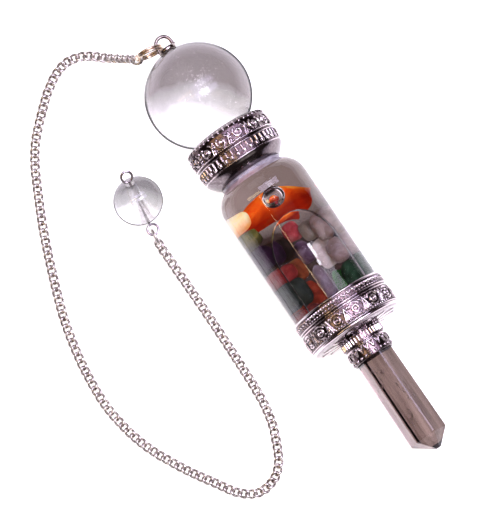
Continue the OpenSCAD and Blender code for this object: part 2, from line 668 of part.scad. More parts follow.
module point_ferrule() {
    mid_s = ferrule_s + 0.52 * ferrule_l;
    line = relief_h;
    color(silver) pendant() {
        difference() {
            lathe([
                [ferrule_s, 0], [ferrule_s, ferrule_r], [mid_s - 2 * line, ferrule_r],
                [mid_s - line, ferrule_r - line / 2], [mid_s + line, ferrule_r - line / 2],
                [mid_s + 2 * line, ferrule_r], [ferrule_end, ferrule_r], [ferrule_end, 0]
            ]);
            rotate([0, 90, 0]) translate([0, 0, ferrule_s + ferrule_floor])
                cylinder(d = point_root_w + 2 * seat_gap, h = ferrule_l, $fn = fine);
        }
        beads(ferrule_s + 0.22 * ferrule_l, ferrule_r, ferrule_beads, 0.11 * ferrule_l);
        beads(ferrule_s + 0.78 * ferrule_l, ferrule_r, ferrule_beads, 0.13 * ferrule_l);
    }
}

// Six-sided crystal, a little wider towards its shoulder, with a six-sided tip
module crystal_point() {
    corners = 6;
    function ring(s, w) = [
        for (k = [0 : corners - 1])
            let (clock = point_turn + 60 * k) [s, w / 2 * sin(clock), w / 2 * cos(clock)]
    ];
    function side(k, base) =
        let (next = (k + 1) % corners)
        [base + k, base + next, base + corners + next, base + corners + k];
    color([0.75, 0.68, 0.68, 0.6]) pendant() polyhedron(
        points = concat(
            ring(point_s, point_root_w), ring(ferrule_end, point_root_w),
            ring(point_shoulder, point_w), [[tip_s, 0.05 * point_w, 0]]
        ),
        faces = concat(
            [[for (k = [0 : corners - 1]) corners - 1 - k]],
            [for (k = [0 : corners - 1]) side(k, 0)],
            [for (k = [0 : corners - 1]) side(k, corners)],
            [for (k = [0 : corners - 1]) [2 * corners + k, 2 * corners + (k + 1) % corners, 3 * corners]]
        )
    );
}

crystal_ball();
peg_bail();
split_ring();
chain();
bead();
bead_wire();
collar();
glass_chamber();
base_cap();
point_ferrule();
crystal_point();
chip_citrine();
chip_olive_jade();
chip_sodalite();
chip_red_jasper();
chip_aventurine();
chip_mahogany();
chip_carnelian();
chip_rhodonite();
chip_moss_agate();
chip_fire_agate();
chip_red_agate();
chip_amethyst();
chip_lilac_quartz();
chip_grey_quartz();
chip_rose_quartz();
chip_jade();
chip_dark_jade();
chip_mauve_quartz();
chip_ice_quartz();
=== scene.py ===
"""Looks of a gem chamber pendulum pendant that lies on a pale surface."""
import math

import bpy
import numpy as np
from mathutils import Matrix, Vector


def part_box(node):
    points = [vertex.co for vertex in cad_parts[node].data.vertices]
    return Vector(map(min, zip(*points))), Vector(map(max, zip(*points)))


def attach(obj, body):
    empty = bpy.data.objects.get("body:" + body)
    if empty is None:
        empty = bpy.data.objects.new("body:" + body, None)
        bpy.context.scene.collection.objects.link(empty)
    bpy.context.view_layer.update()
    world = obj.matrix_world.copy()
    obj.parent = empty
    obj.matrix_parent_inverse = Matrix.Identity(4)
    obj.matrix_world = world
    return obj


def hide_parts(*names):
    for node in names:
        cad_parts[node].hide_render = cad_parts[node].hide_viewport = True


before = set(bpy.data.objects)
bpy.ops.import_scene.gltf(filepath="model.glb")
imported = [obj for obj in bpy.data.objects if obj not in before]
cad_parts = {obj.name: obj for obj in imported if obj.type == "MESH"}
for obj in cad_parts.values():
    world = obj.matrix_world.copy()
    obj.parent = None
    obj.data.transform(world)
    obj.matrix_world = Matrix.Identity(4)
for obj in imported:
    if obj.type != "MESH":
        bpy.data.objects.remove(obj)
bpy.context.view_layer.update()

MM = 0.001
rng = np.random.default_rng(7)

# Sizes in millimetres, as in the CAD model. Stations count along the axis from the ball's centre.
BALL_R, BEAD_R = 10.0, 4.6
MOUTH_R, COLLAR_R = 6.1, 8.25
NECK_R, GLASS_R, WALL = 6.0, 8.85, 1.0
CAP_R, FERRULE_R = 9.25, 4.15
LIP_L, COLLAR_BAND_L, TAPER_L = 1.3, 5.9, 2.1
CAP_L, FERRULE_L = 7.3, 5.3
RELIEF = 0.22
COLLAR_S = math.sqrt(BALL_R**2 - (MOUTH_R - 0.15) ** 2)
BAND_S = COLLAR_S + LIP_L
TAPER_S = BAND_S + COLLAR_BAND_L
COLLAR_END = TAPER_S + TAPER_L
SHOULDER_S = COLLAR_END + 0.7
SHOULDER_L, BODY_L = 4.6, 28.8
BODY_S = SHOULDER_S + SHOULDER_L
BOTTOM_S = BODY_S + BODY_L
CAP_END = BOTTOM_S + 1.6
CAP_S = CAP_END - CAP_L
FERRULE_S = CAP_END + 0.05
FERRULE_END = FERRULE_S + FERRULE_L
POINT_S = FERRULE_S + 1.1
POINT_SHOULDER = FERRULE_END + 17.8
TIP_S = POINT_SHOULDER + 2.8
# The pendant rests on the ball and on the cap's rim, which tilts its axis a little.
RIM_S, RIM_R = CAP_S + 0.8 * CAP_L, CAP_R + RELIEF
LEAN = math.asin(BALL_R / math.hypot(RIM_S, RIM_R)) - math.atan2(RIM_R, RIM_S)
# How much smaller than its solid a visible surface is, and the gap between seated pieces
SKIN, GAP = 0.01, 0.02


def node_box(name):
    """A solid's box corners in millimetres."""
    lo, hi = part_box(name)
    return np.array(lo) / MM, np.array(hi) / MM


BALL = sum(node_box("crystal_ball")) / 2
BEAD_AT = np.array([9.4, -19.6, BEAD_R - BALL_R])


def lay(points):
    """Points along the pendant's axis, as the pendant lies."""
    p = np.asarray(points, float)
    x, y, z = p[..., 0], p[..., 1], p[..., 2]
    c, s = math.cos(LEAN), math.sin(LEAN)
    return np.stack([x * c + z * s, y, z * c - x * s], -1) + BALL


def unit(v):
    return v / np.linalg.norm(v, axis=-1, keepdims=True)


def circle(count):
    """Angles of a full turn, in equal steps."""
    return np.linspace(0, 2 * math.pi, count, endpoint=False)


# Mesh building

def grid_faces(rows, cols, wrap_rows=False, wrap_cols=True):
    r = np.arange(rows if wrap_rows else rows - 1)
    c = np.arange(cols if wrap_cols else cols - 1)
    r, c = np.meshgrid(r, c, indexing="ij")
    r2, c2 = (r + 1) % rows, (c + 1) % cols
    return np.stack([r * cols + c, r * cols + c2, r2 * cols + c2, r2 * cols + c], -1).reshape(-1, 4)


def tube_faces(rows, cols):
    """Faces of rings one after another, with the first and the last ring closed."""
    return grid_faces(rows, cols).tolist() + [list(range(cols)), list(range((rows - 1) * cols, rows * cols))]


def volume(verts, faces):
    total = 0.0
    for f in faces:
        for k in range(1, len(f) - 1):
            total += np.dot(verts[f[0]], np.cross(verts[f[k]], verts[f[k + 1]]))
    return total / 6


def outward(verts, faces, inward=False):
    """Faces turned so that a closed mesh's normals point out, or in."""
    v = np.asarray(verts) - np.mean(verts, 0)
    q = np.asarray([f for f in faces if len(f) == 4], int).reshape(-1, 4)
    total = 6 * volume(v, [f for f in faces if len(f) != 4])
    for a, b, c in ((0, 1, 2), (0, 2, 3)):
        total += np.einsum("ij,ij->i", v[q[:, a]], np.cross(v[q[:, b]], v[q[:, c]])).sum()
    step = -1 if (total < 0) != inward else 1
    return [tuple(int(i) for i in f)[::step] for f in faces]


def piece(name, verts, faces, look, nodes=(), inward=False, smooth=True, sharp=None, relief=None):
    """A visible piece from points in millimetres, in place of the named solids."""
    mesh = bpy.data.meshes.new(name)
    mesh.from_pydata((np.asarray(verts, float) * MM).tolist(), [], outward(verts, list(faces), inward))
    mesh.materials.append(look)
    if relief is not None:
        layer = mesh.attributes.new("relief", "FLOAT", "POINT")
        layer.data.foreach_set("value", np.asarray(relief, np.float32))
    if smooth:
        mesh.shade_smooth()
    if sharp:
        mesh.set_sharp_from_angle(angle=math.radians(sharp))
    obj = bpy.data.objects.new(name, mesh)
    bpy.context.collection.objects.link(obj)
    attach(obj, "root")
    if nodes:
        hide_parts(*nodes)
    return obj


def second_look(obj, look, wanted):
    """Another material on the faces for which wanted says true."""
    obj.data.materials.append(look)
    for face in obj.data.polygons:
        face.material_index = int(wanted(face))


def resample(points, step):
    """Points along a line at about the given step, corners kept."""
    out = [np.asarray(points[0], float)]
    for a, b in zip(points, points[1:]):
        a, b = np.asarray(a, float), np.asarray(b, float)
        n = max(1, math.ceil(np.linalg.norm(b - a) / step))
        out += [a + (b - a) * k / n for k in range(1, n + 1)]
    return np.array(out)


def smooth_line(points, per=8):
    """Catmull-Rom curve through points."""
    p = np.asarray(points, float)
    out = []
    for i in range(len(p) - 1):
        a, b, c, d = p[max(i - 1, 0)], p[i], p[i + 1], p[min(i + 2, len(p) - 1)]
        for t in np.arange(per) / per:
            square, cube = (2 * a - 5 * b + 4 * c - d) * t**2, (3 * b - a - 3 * c + d) * t**3
            out.append((2 * b + (c - a) * t + square + cube) / 2)
    out.append(p[-1])
    return np.array(out)


def turned(profile, cols, height=None):
    """Closed turned body from a line of station and radius. height(s, clock) stands out of it."""
    p = np.asarray(profile, float)
    tangent = np.gradient(p, axis=0)
    tangent /= np.linalg.norm(tangent, axis=1)[:, None] + 1e-9
    normal = np.stack([-tangent[:, 1], tangent[:, 0]], -1)
    s, clock = np.meshgrid(p[:, 0], circle(cols), indexing="ij")
    h = height(s, clock) if height else np.zeros_like(s)
    s = s + h * normal[:, :1]
    r = p[:, 1:2] + h * normal[:, 1:2]
    verts = lay(np.stack([s, r * np.sin(clock), r * np.cos(clock)], -1)).reshape(-1, 3)
    return verts, tube_faces(len(p), cols), h.reshape(-1)


def sweep(path, radius, sides=14):
    """Round wire along a path, with rounded ends."""
    p = np.asarray(path, float)
    t = unit(np.gradient(p, axis=0))
    frames = [unit(np.cross(t[0], [0.3, 0.2, 1.0]))]
    for k in range(1, len(p)):
        frames.append(unit(frames[-1] - t[k] * np.dot(frames[-1], t[k])))
    u = np.array(frames)
    w = np.cross(t, u)
    a = circle(sides)

    def ring(k, r, shift):
        return p[k] + shift * t[k] + r * (np.cos(a)[:, None] * u[k] + np.sin(a)[:, None] * w[k])

    def end(k, angles, side):
        """Rings that close in on the wire's end, half as deep as a ball."""
        return [ring(k, radius * math.cos(g), side * radius * math.sin(g) * 0.5) for g in np.radians(angles)]

    rings = end(0, (80, 55, 28), -1) + [ring(k, radius, 0) for k in range(len(p))] + end(-1, (28, 55, 80), 1)
    return np.concatenate(rings), tube_faces(len(rings), sides)


def join(*meshes):
    verts, faces, base = [], [], 0
    for v, f in meshes:
        verts.append(np.asarray(v))
        faces += [[i + base for i in face] for face in outward(v, f)]
        base += len(v)
    return np.concatenate(verts), faces


def globe(rows=64, cols=96):
    """A fine ball of radius 1 with its poles on the X axis."""
    z = np.array([1.0, 0, 0])
    x = unit(np.cross(z, [0.2, 0.5, 1.0]))
    y = np.cross(z, x)
    lat = np.radians(np.linspace(-90, 90, rows)[1:-1])
    la, lo = np.meshgrid(lat, circle(cols), indexing="ij")
    la, lo = la[..., None], lo[..., None]
    p = np.cos(la) * (np.cos(lo) * x + np.sin(lo) * y) + np.sin(la) * z
    n = rows - 2
    faces = grid_faces(n, cols).tolist()
    faces += [[n * cols, (k + 1) % cols, k] for k in range(cols)]
    faces += [[n * cols + 1, (n - 1) * cols + k, (n - 1) * cols + (k + 1) % cols] for k in range(cols)]
    return np.concatenate([p.reshape(-1, 3), [-z, z]]), faces


# Material building

# Indices of refraction. The liquid and the bubbles are faces between two stuffs, so theirs are
# ratios. The long bubble's flat base has one near 1, which keeps the lamps from mirroring in it.
CRYSTAL_IOR, LIMB_IOR, GLASS_IOR = 1.54, 1.03, 1.5
LIQUID_IOR, BUBBLE_IOR, BASE_IOR = 1.09, 1.38, 1.04
# Level ways across the crystals: to the side where the painted shade lies, and square to it
PAINTED_SHADE_WAY, CROSS_WAY = (-0.83, 0.56, 0.0), (0.56, 0.83, 0.0)


def material(name):
    m = bpy.data.materials.new(name)
    m.use_nodes = True
    return m, m.node_tree, m.node_tree.nodes["Principled BSDF"]


def feed(tree, target, values):
    """Each of the target's inputs gets a number, a colour or another node's output."""
    for key, value in values.items():
        if isinstance(value, bpy.types.NodeSocket):
            tree.links.new(value, target.inputs[key])
        else:
            target.inputs[key].default_value = value


def node(tree, kind, values, **settings):
    n = tree.nodes.new(kind)
    for key, value in settings.items():
        setattr(n, key, value)
    feed(tree, n, values)
    return n


def place(tree):
    """Where a point is, in metres."""
    return node(tree, "ShaderNodeTexCoord", {}).outputs["Object"]


def mapped(tree, values):
    """Where a point is, after a move, a turn or a stretch."""
    values = {"Vector": place(tree), **values}
    return node(tree, "ShaderNodeMapping", values, vector_type="POINT").outputs["Vector"]


def split(tree, vector):
    return node(tree, "ShaderNodeSeparateXYZ", {0: vector}).outputs


def noise(tree, scale, detail, rough, distortion=0.0, where=None):
    where = place(tree) if where is None else where
    values = {"Vector": where, "Scale": scale, "Detail": detail, "Roughness": rough, "Distortion": distortion}
    return node(tree, "ShaderNodeTexNoise", values).outputs["Fac"]


def ramp(tree, source, stops):
    r = node(tree, "ShaderNodeValToRGB", {"Fac": source})
    e = r.color_ramp.elements
    while len(e) < len(stops):
        e.new(0.5)
    for k, (at, colour) in enumerate(stops):
        e[k].position = at
        e[k].color = (*colour, 1.0)
    return r.outputs["Color"]


def spread(tree, source, low, high, out_low, out_high):
    values = {"Value": source, "From Min": low, "From Max": high, "To Min": out_low, "To Max": out_high}
    return node(tree, "ShaderNodeMapRange", values).outputs["Result"]


def compute(tree, operation, *values):
    return node(tree, "ShaderNodeMath", dict(enumerate(values)), operation=operation).outputs[0]


def mix(tree, factor, a, b, kind="MIX"):
    values = {"Factor": factor, "A": a, "B": b}
    return node(tree, "ShaderNodeMix", values, data_type="RGBA", blend_type=kind).outputs["Result"]


def bump(tree, source, strength, distance):
    values = {"Strength": strength, "Distance": distance, "Height": source}
    return node(tree, "ShaderNodeBump", values).outputs["Normal"]


def cast_silver(name, silver, dark, rough):
    """Antiqued plate: bright on the raised pattern, black-brown in the recesses."""
    m, t, bsdf = material(name)
    raised = node(t, "ShaderNodeAttribute", {}, attribute_name="relief").outputs["Fac"]
    dirt = compute(t, "MULTIPLY_ADD", noise(t, 2600, 5, 0.6), 0.5, raised)
    dull = tuple(0.3 * c for c in silver)
    feed(t, bsdf, {
        "Metallic": 1.0,
        "Base Color": ramp(t, dirt, [(0.16, dark), (0.42, dull), (0.74, silver)]),
        "Roughness": spread(t, dirt, 0.2, 0.7, rough + 0.1, rough),
        "Normal": bump(t, noise(t, 3800, 3, 0.6), 0.15, 0.00005),
    })
    return m


def bright_metal(name, colour, shade, rough):
    m, t, bsdf = material(name)
    cloud = noise(t, 900, 4, 0.6)
    feed(t, bsdf, {
        "Metallic": 1.0,
        "Base Color": ramp(t, cloud, [(0.35, shade), (0.6, colour)]),
        "Roughness": spread(t, cloud, 0.3, 0.7, rough * 1.6, rough),
        "Normal": bump(t, cloud, 0.15, 0.00002),
    })
    return m


def clear_glass(name, tint, tint2, ior, level=0.25, shade_below=None, stretch=None):
    """Clear stuff in two slightly different tints. shade_below: painted shade on its under half.
    stretch: its clouds are drawn out by this, and show on the surface too."""
    m, t, bsdf = material(name)
    if stretch:
        cloud = noise(t, 1.0, 2, 0.5, where=mapped(t, {"Scale": stretch}))
        feed(t, bsdf, {"Normal": bump(t, cloud, 0.3, 0.00002)})
    else:
        cloud = noise(t, 120.0, 2, 0.5)
    colour = ramp(t, cloud, [(0.3, tint), (0.7, tint2)])
    feed(t, bsdf, {
        "Transmission Weight": 1.0, "IOR": ior, "Specular IOR Level": level,
        "Base Color": painted_shade_below(t, colour, *shade_below) if shade_below else colour,
        "Roughness": spread(t, cloud, 0.3, 0.7, 0.0, 0.012),
    })
    return m


def painted_shade_below(t, clear, left, right, shade_among_chips):
    """Painted shade on the liquid's face over its floor: by the shoulder on both sides, and among the chips.
    """
    x, y, z = split(t, place(t))
    low = spread(t, z, (BALL_R - 2.0) * MM, (BALL_R - 0.5) * MM, 1.0, 0.0)
    side = spread(t, y, (BALL[1] - 6.5) * MM, (BALL[1] + 1.5) * MM, 0.0, 1.0)
    later = compute(t, "MULTIPLY_ADD", side, -5.5 * MM, x)
    along = spread(t, later, (BALL[0] + 21.5) * MM, (BALL[0] + 25) * MM, 0.0, 1.0)
    under = mix(t, along, ramp(t, side, [(0.0, left), (1.0, right)]), (*shade_among_chips, 1))
    return mix(t, low, clear, under)


def crystal_with_painted_shade(name, centre, radius, painted_shade, span, blur):
    """Clear crystal with painted shade, grey over its upper half towards the ball's end of the pendant,
    and painted shade in a dark line along its limb."""
    m, t, bsdf = material(name)
    where = mapped(t, {"Location": [-c / radius for c in centre], "Scale": [1 / (radius * MM)] * 3})

    def share(way):
        return node(t, "ShaderNodeVectorMath", {0: where, 1: way}, operation="DOT_PRODUCT").outputs["Value"]

    far, across = share(PAINTED_SHADE_WAY), share(CROSS_WAY)
    level = compute(t, "MULTIPLY_ADD", noise(t, 3.0 / (radius * MM), 4, 0.6, 0.5), 0.22, far)
    level = compute(t, "MULTIPLY_ADD", compute(t, "MULTIPLY", across, across), 0.3, level)
    amount = spread(t, level, span[0] + 0.11, span[1] + 0.11, 0.0, 1.0)
    # Painted shade: grey over the upper half only
    painted_shade_share = compute(t, "MULTIPLY", amount, spread(t, share((0.0, 0.0, 1.0)), -0.08, 0.04, 0.0, 1.0))
    pale = tuple(0.3 + 0.6 * c for c in painted_shade)
    colour = ramp(t, painted_shade_share, [(0.0, (0.99, 0.985, 0.995)), (0.35, pale), (1.0, painted_shade)])
    # Painted shade: a dark line along the limb, with the index of refraction dropped there as well
    facing = node(t, "ShaderNodeLayerWeight", {"Blend": 0.5}).outputs["Facing"]
    limb = spread(t, facing, 0.7, 0.78, 0.0, 1.0)
    away = spread(t, compute(t, "ADD", far, compute(t, "MULTIPLY", across, -0.7)), 0.5, 1.1, 1.0, 0.1)
    line = compute(t, "MULTIPLY", limb, away)
    feed(t, bsdf, {
        "Transmission Weight": 1.0,
        "IOR": spread(t, line, 0.0, 1.0, CRYSTAL_IOR, LIMB_IOR),
        "Base Color": mix(t, line, colour, (0.0006, 0.0003, 0.0005, 1)),
        "Roughness": spread(t, painted_shade_share, 0.0, 0.4, 0.0, blur),
    })
    return m


def milky_glass(name, scale, stops, rough, clear, ior, glow=0.0):
    """Glass or crystal that is whitish here: two tints, part clear. glow: painted light, the whitish colour
    shining.
    """
    m, t, bsdf = material(name)
    colour = ramp(t, noise(t, scale, 3, 0.6), stops)
    feed(t, bsdf, {"Base Color": colour, "Roughness": rough, "Transmission Weight": clear, "IOR": ior})
    # The glow is painted light
    if glow:
        feed(t, bsdf, {"Emission Color": colour, "Emission Strength": glow})
    return m


def stone(name, colours, scale, sub=0.0, glow=0.0, fade=None):
    """Tumbled stone: clouds of its colours, with fine specks. glow: painted light, its colours shining
    as if lit through. fade: it turns to this share of its colours between two stations. It lies in
    liquid, so it has no gloss of its own."""
    m, t, bsdf = material(name)
    stops = [(0.28 + 0.44 * k / (len(colours) - 1), c) for k, c in enumerate(colours)]
    colour = ramp(t, noise(t, scale, 6, 0.62, 0.6), stops)
    if fade:
        share, near, far = fade
        deep = spread(t, split(t, place(t))["X"], (BALL[0] + near) * MM, (BALL[0] + far) * MM, 0.0, 1.0)
        colour = mix(t, deep, colour, (*share, 1), "MULTIPLY")
    feed(t, bsdf, {
        "Base Color": colour, "Roughness": 0.22, "Specular IOR Level": 0.0,
        # The emission is painted light: the stone shines as if lit through
        "Emission Color": colour, "Emission Strength": glow,
        "Normal": bump(t, noise(t, scale * 9, 3, 0.6), 0.25, 0.00006),
    })
    if sub:
        feed(t, bsdf, {"Subsurface Weight": sub, "Subsurface Radius": (1.0, 0.6, 0.4),
                       "Subsurface Scale": 0.0015})
    return m


# Silver, wires and bronze
CAST = cast_silver("cast_silver_plate", (0.76, 0.66, 0.68), (0.06, 0.025, 0.03), 0.09)
WIRE = bright_metal("silver_wire", (0.55, 0.5, 0.52), (0.32, 0.28, 0.3), 0.1)
CHAIN_METAL = bright_metal("chain_plate", (0.84, 0.8, 0.76), (0.54, 0.48, 0.46), 0.22)
BAIL_METAL = bright_metal("bail_plate", (0.4, 0.35, 0.32), (0.18, 0.14, 0.13), 0.12)
BRONZE = bright_metal("ring_bronze", (0.95, 0.82, 0.64), (0.66, 0.48, 0.36), 0.2)
# Crystals
# Both crystals carry painted shade over their upper halves and along their limbs
BALL_GLASS = crystal_with_painted_shade("ball_crystal", BALL, BALL_R, (0.085, 0.068, 0.07), (-0.5, 0.15), 0.16)
BEAD_GLASS = crystal_with_painted_shade("bead_crystal", BALL + BEAD_AT, BEAD_R, (0.075, 0.068, 0.075), (-0.5, 0.45), 0.05)
# The drilled hole's whitish wall; its glow is painted light
DRILLED = milky_glass("drilled_wall", 2400, [(0.35, (0.6, 0.56, 0.58)), (0.62, (0.9, 0.87, 0.9))],
                      0.2, 0.75, CRYSTAL_IOR, 0.22)
POINT_CRYSTAL = clear_glass("smoky_crystal", (0.31, 0.22, 0.195), (0.09, 0.055, 0.047), CRYSTAL_IOR, 0.5,
                            stretch=(60, 900, 900))
# Bottle
CHAMBER = clear_glass("chamber_glass", (0.985, 0.97, 0.975), (0.96, 0.94, 0.95), GLASS_IOR)
# The lip's whitish colour is a painted highlight
LIP_PAINTED_HIGHLIGHT = milky_glass("neck_lip_painted_highlight", 700, [(0.35, (0.42, 0.38, 0.44)), (0.62, (0.78, 0.74, 0.82))],
                        0.12, 0.35, GLASS_IOR)
# The liquid's face carries painted shade over its under half
LIQUID = clear_glass("liquid_face", (0.95, 0.925, 0.92), (0.92, 0.89, 0.885), LIQUID_IOR, 0.5,
                     shade_below=[(0.17, 0.11, 0.1), (0.06, 0.036, 0.032), (0.0028, 0.0009, 0.0008)])
BUBBLE = clear_glass("bubble_face", (1.0, 0.99, 1.0), (0.985, 0.975, 0.985), BUBBLE_IOR)
BUBBLE_BASE = clear_glass("bubble_base", (1.0, 0.99, 1.0), (0.985, 0.975, 0.985), BASE_IOR)


# Relief patterns, in millimetres over a flat strip

def stroke_field(u, v, strokes):
    """Rounded ridges along polylines: the highest of all, from 0 to 1."""
    best = np.zeros_like(u)
    for points, wide in strokes:
        p = np.asarray(points, float)
        for a, b in zip(p, p[1:] if len(p) > 1 else p):
            ab = b - a
            k = np.clip(((u - a[0]) * ab[0] + (v - a[1]) * ab[1]) / (ab @ ab + 1e-9), 0, 1)
            d = np.hypot(u - a[0] - k * ab[0], v - a[1] - k * ab[1])
            best = np.maximum(best, np.clip(1 - (d / wide) ** 2, 0, 1) ** 0.6)
    return best


def curl(x, y, r0, r1, a0, a1, n=14):
    """A scroll: part of a spiral about a point, in degrees."""
    t = np.linspace(0, 1, n)
    a = np.radians(a0 + (a1 - a0) * t)
    r = r0 + (r1 - r0) * t
    return np.stack([x + r * np.cos(a), y + r * np.sin(a)], -1)


def cell(clock, count, radius):
    """Place across one of a ring of equal cells, in millimetres from its middle."""
    return ((clock / (2 * math.pi) * count) % 1.0 - 0.5) * 2 * math.pi * radius / count


def strip(s, clock, start, length, count, radius, strokes):
    """A ring of cells round the body from a start station, each with the same strokes."""
    u, v = cell(clock, count, radius), s - start
    inside = (v > -0.2) & (v < length + 0.2)
    out = np.zeros_like(s)
    out[inside] = stroke_field(u[inside], v[inside], strokes)
    return out


def ridge(s, at, wide):
    """A plain raised ring."""
    return np.clip(1 - ((s - at) / wide) ** 2, 0, 1)


def collar():
    groove, high, low, cols = BAND_S + 0.52 * COLLAR_BAND_L, 0.27, 0.05, 720
    out = COLLAR_R - MOUTH_R
    top = smooth_line([
        (COLLAR_S + 0.35, MOUTH_R - 0.1), (COLLAR_S, MOUTH_R + 0.02), (COLLAR_S + 0.05, MOUTH_R + 0.3),
        (COLLAR_S + 0.35 * LIP_L, MOUTH_R + 0.62 * out), (COLLAR_S + 0.65 * LIP_L, MOUTH_R + 0.88 * out),
        (BAND_S, COLLAR_R - 0.02),
    ], 6)
    band = resample([(BAND_S, COLLAR_R - 0.02), (TAPER_S, COLLAR_R - 0.1)], 0.07)[1:]
    under = smooth_line([
        (TAPER_S, COLLAR_R - 0.1), (TAPER_S + 0.2 * TAPER_L, COLLAR_R - 0.25),
        (TAPER_S + 0.45 * TAPER_L, COLLAR_R - 0.66), (COLLAR_END - 0.25, NECK_R + 0.75),
        (COLLAR_END, NECK_R + 0.4),
    ], 6)[1:]
    inner = [(COLLAR_END - 0.05, NECK_R + 0.12), (COLLAR_END - 3.0, NECK_R + 0.12), (COLLAR_END - 3.2, 0.6)]
    profile = np.array([*top, *band, *under, *inner])
    scrolls = [
        (curl(-0.35, 1.35, 1.05, 0.3, 235, -150, 22), 0.2), ([(-0.35, 1.35)], 0.26),
        ([(0.85, 2.5), (1.15, 1.5), (1.75, 0.5)], 0.17), ([(1.25, 2.6), (1.5, 1.9)], 0.15),
        ([(0.75, 0.45), (1.1, 0.8)], 0.15), (curl(1.5, 1.1, 0.42, 0.3, -30, 210, 10), 0.14),
        ([(-1.7, 2.55), (-1.1, 2.65), (-0.5, 2.6)], 0.13), ([(1.9, 2.2)], 0.2),
    ]
    upper_bars = [([(0, 0.1), (0, 0.5)], 0.14)]
    bars = [([(0, 0.0), (0, 0.75)], 0.2)]
    studs = [([(-0.12, 0.0), (0.12, 0.0)], 0.3), ([(-0.1, 0.28), (0.1, 0.28)], 0.26)]

    def height(s, clock):
        wobble = 0.06 * np.sin(3 * clock + 1) + 0.05 * np.sin(7 * clock)
        h = np.maximum.reduce([
            strip(s + wobble, clock, BAND_S + 0.1, 2.9, 14, COLLAR_R, scrolls),
            0.8 * strip(s, clock, BAND_S - 0.75, 0.6, 44, COLLAR_R - 0.4, upper_bars),
            strip(s, clock, groove + 0.62, 0.8, 46, COLLAR_R, bars),
            strip(s, clock, groove + 1.72, 0.35, 36, COLLAR_R, studs),
            0.6 * ridge(s, groove - 0.32, 0.16),
            0.55 * ridge(s, groove + 0.3, 0.14),
            0.5 * ridge(s, TAPER_S - 0.12, 0.16),
        ])
        plain = (s > TAPER_S) | (s < BAND_S - 1.0)
        return np.where(plain, 0, h * high - 0.12 * ridge(s, groove, 0.2) - low)

    verts, faces, h = turned(profile, cols, height)
    on_taper = np.repeat(profile[:, 0], cols) > TAPER_S + 0.05
    value = np.where(on_taper, 0.12, np.clip((h + low) / high, 0, 1))
    return piece("collar_casting", verts, faces, CAST, ["collar"], relief=value)


def base_cap():
    waist, foot, bore = CAP_S + 0.34 * CAP_L, CAP_S + 0.84 * CAP_L, GLASS_R + 0.08
    high, low, cols, petals, end_r = 0.25, 0.04, 720, 12, CAP_R - 1.3
    rim = [(CAP_S + 0.3, bore - 0.02), (CAP_S + 0.02, bore + 0.03), (CAP_S, CAP_R - 0.12),
           (CAP_S + 0.12, CAP_R)]
    band = resample([(CAP_S + 0.12, CAP_R), (foot + 0.35, CAP_R)], 0.07)[1:]
    edge = smooth_line([
        (foot + 0.35, CAP_R), (CAP_END - 0.55, CAP_R - 0.12), (CAP_END - 0.2, CAP_R - 0.5), (CAP_END, end_r),
    ], 5)[1:]
    end = resample([(CAP_END, end_r), (CAP_END, FERRULE_R - 0.6)], 0.08)[1:]
    profile = np.array([*rim, *band, *edge, *end, (CAP_END - 1.0, FERRULE_R - 0.7), (CAP_END - 1.2, 0.4)])
    flower = [
        (curl(-0.95, 1.6, 0.62, 0.62, 0, 360, 16), 0.17), ([(-0.95, 1.6)], 0.24),
        (curl(-0.95, 1.55, 1.2, 1.2, 205, 335, 12), 0.15), (curl(-0.95, 1.6, 1.15, 1.15, 40, 140, 10), 0.12),
        ([(0.45, 2.75), (1.15, 0.5), (1.85, 2.75)], 0.17), ([(0.85, 2.75), (1.15, 1.6), (1.45, 2.75)], 0.13),
        ([(1.15, 2.8), (1.15, 2.3)], 0.12), ([(0.35, 0.55), (0.7, 0.95)], 0.15),
        ([(1.6, 0.95), (1.95, 0.55)], 0.15),
    ]
    loops = [(curl(0, 0, 0.34, 0.34, 0, 360, 12), 0.15)]
    dots = [([(0, 0)], 0.17)]

    def height(s, clock):
        h = np.maximum.reduce([
            strip(s + 0.02 * np.sin(5 * clock), clock, waist + 0.3, 3.2, 14, CAP_R, flower),
            strip(s, clock, CAP_S + 0.95, 0.4, 50, CAP_R, loops),
            0.9 * strip(s, clock, CAP_S + 1.75, 0.2, 84, CAP_R, dots),
            0.8 * strip(s, clock, foot - 0.32, 0.2, 90, CAP_R, dots),
            0.6 * ridge(s, CAP_S + 0.28, 0.2),
            0.55 * ridge(s, waist - 0.28, 0.13),
            0.6 * ridge(s, waist + 0.22, 0.13),
            0.55 * ridge(s, foot - 0.02, 0.14),
            0.7 * ridge(s, foot + 0.5, 0.3),
        ])
        plain = (s < CAP_S + 0.05) | (s > foot + 0.75)
        return np.where(plain, 0, (h - 0.4 * ridge(s, waist, 0.16)) * high - low)

    verts, faces, h = turned(profile, cols, height)
    # Petals round the closed end
    s, r = np.repeat(profile[:, 0], cols), np.repeat(profile[:, 1], cols)
    on_end = (s > CAP_END - 0.03) & (r > FERRULE_R - 0.2) & (r < end_r + 0.05)
    u = cell(np.tile(circle(cols), len(profile)), petals, r)
    v = np.clip((r - FERRULE_R) / (end_r - FERRULE_R), 0, 1)
    petal = np.clip(1 - (u / (1.25 * np.sin(v * math.pi * 0.8 + 0.35) + 0.05)) ** 2, 0, 1) ** 0.5
    axis = lay([1, 0, 0]) - lay([0, 0, 0])
    verts = verts + np.where(on_end, petal * 0.2, 0)[:, None] * axis
    closed_end = np.where(on_end, 0.08 + 0.42 * petal, 0.26)
    value = np.where(s > foot + 0.75, closed_end, np.clip((h + low) / high, 0, 1))
    return piece("base_cap_casting", verts, faces, CAST, ["base_cap"], relief=value)


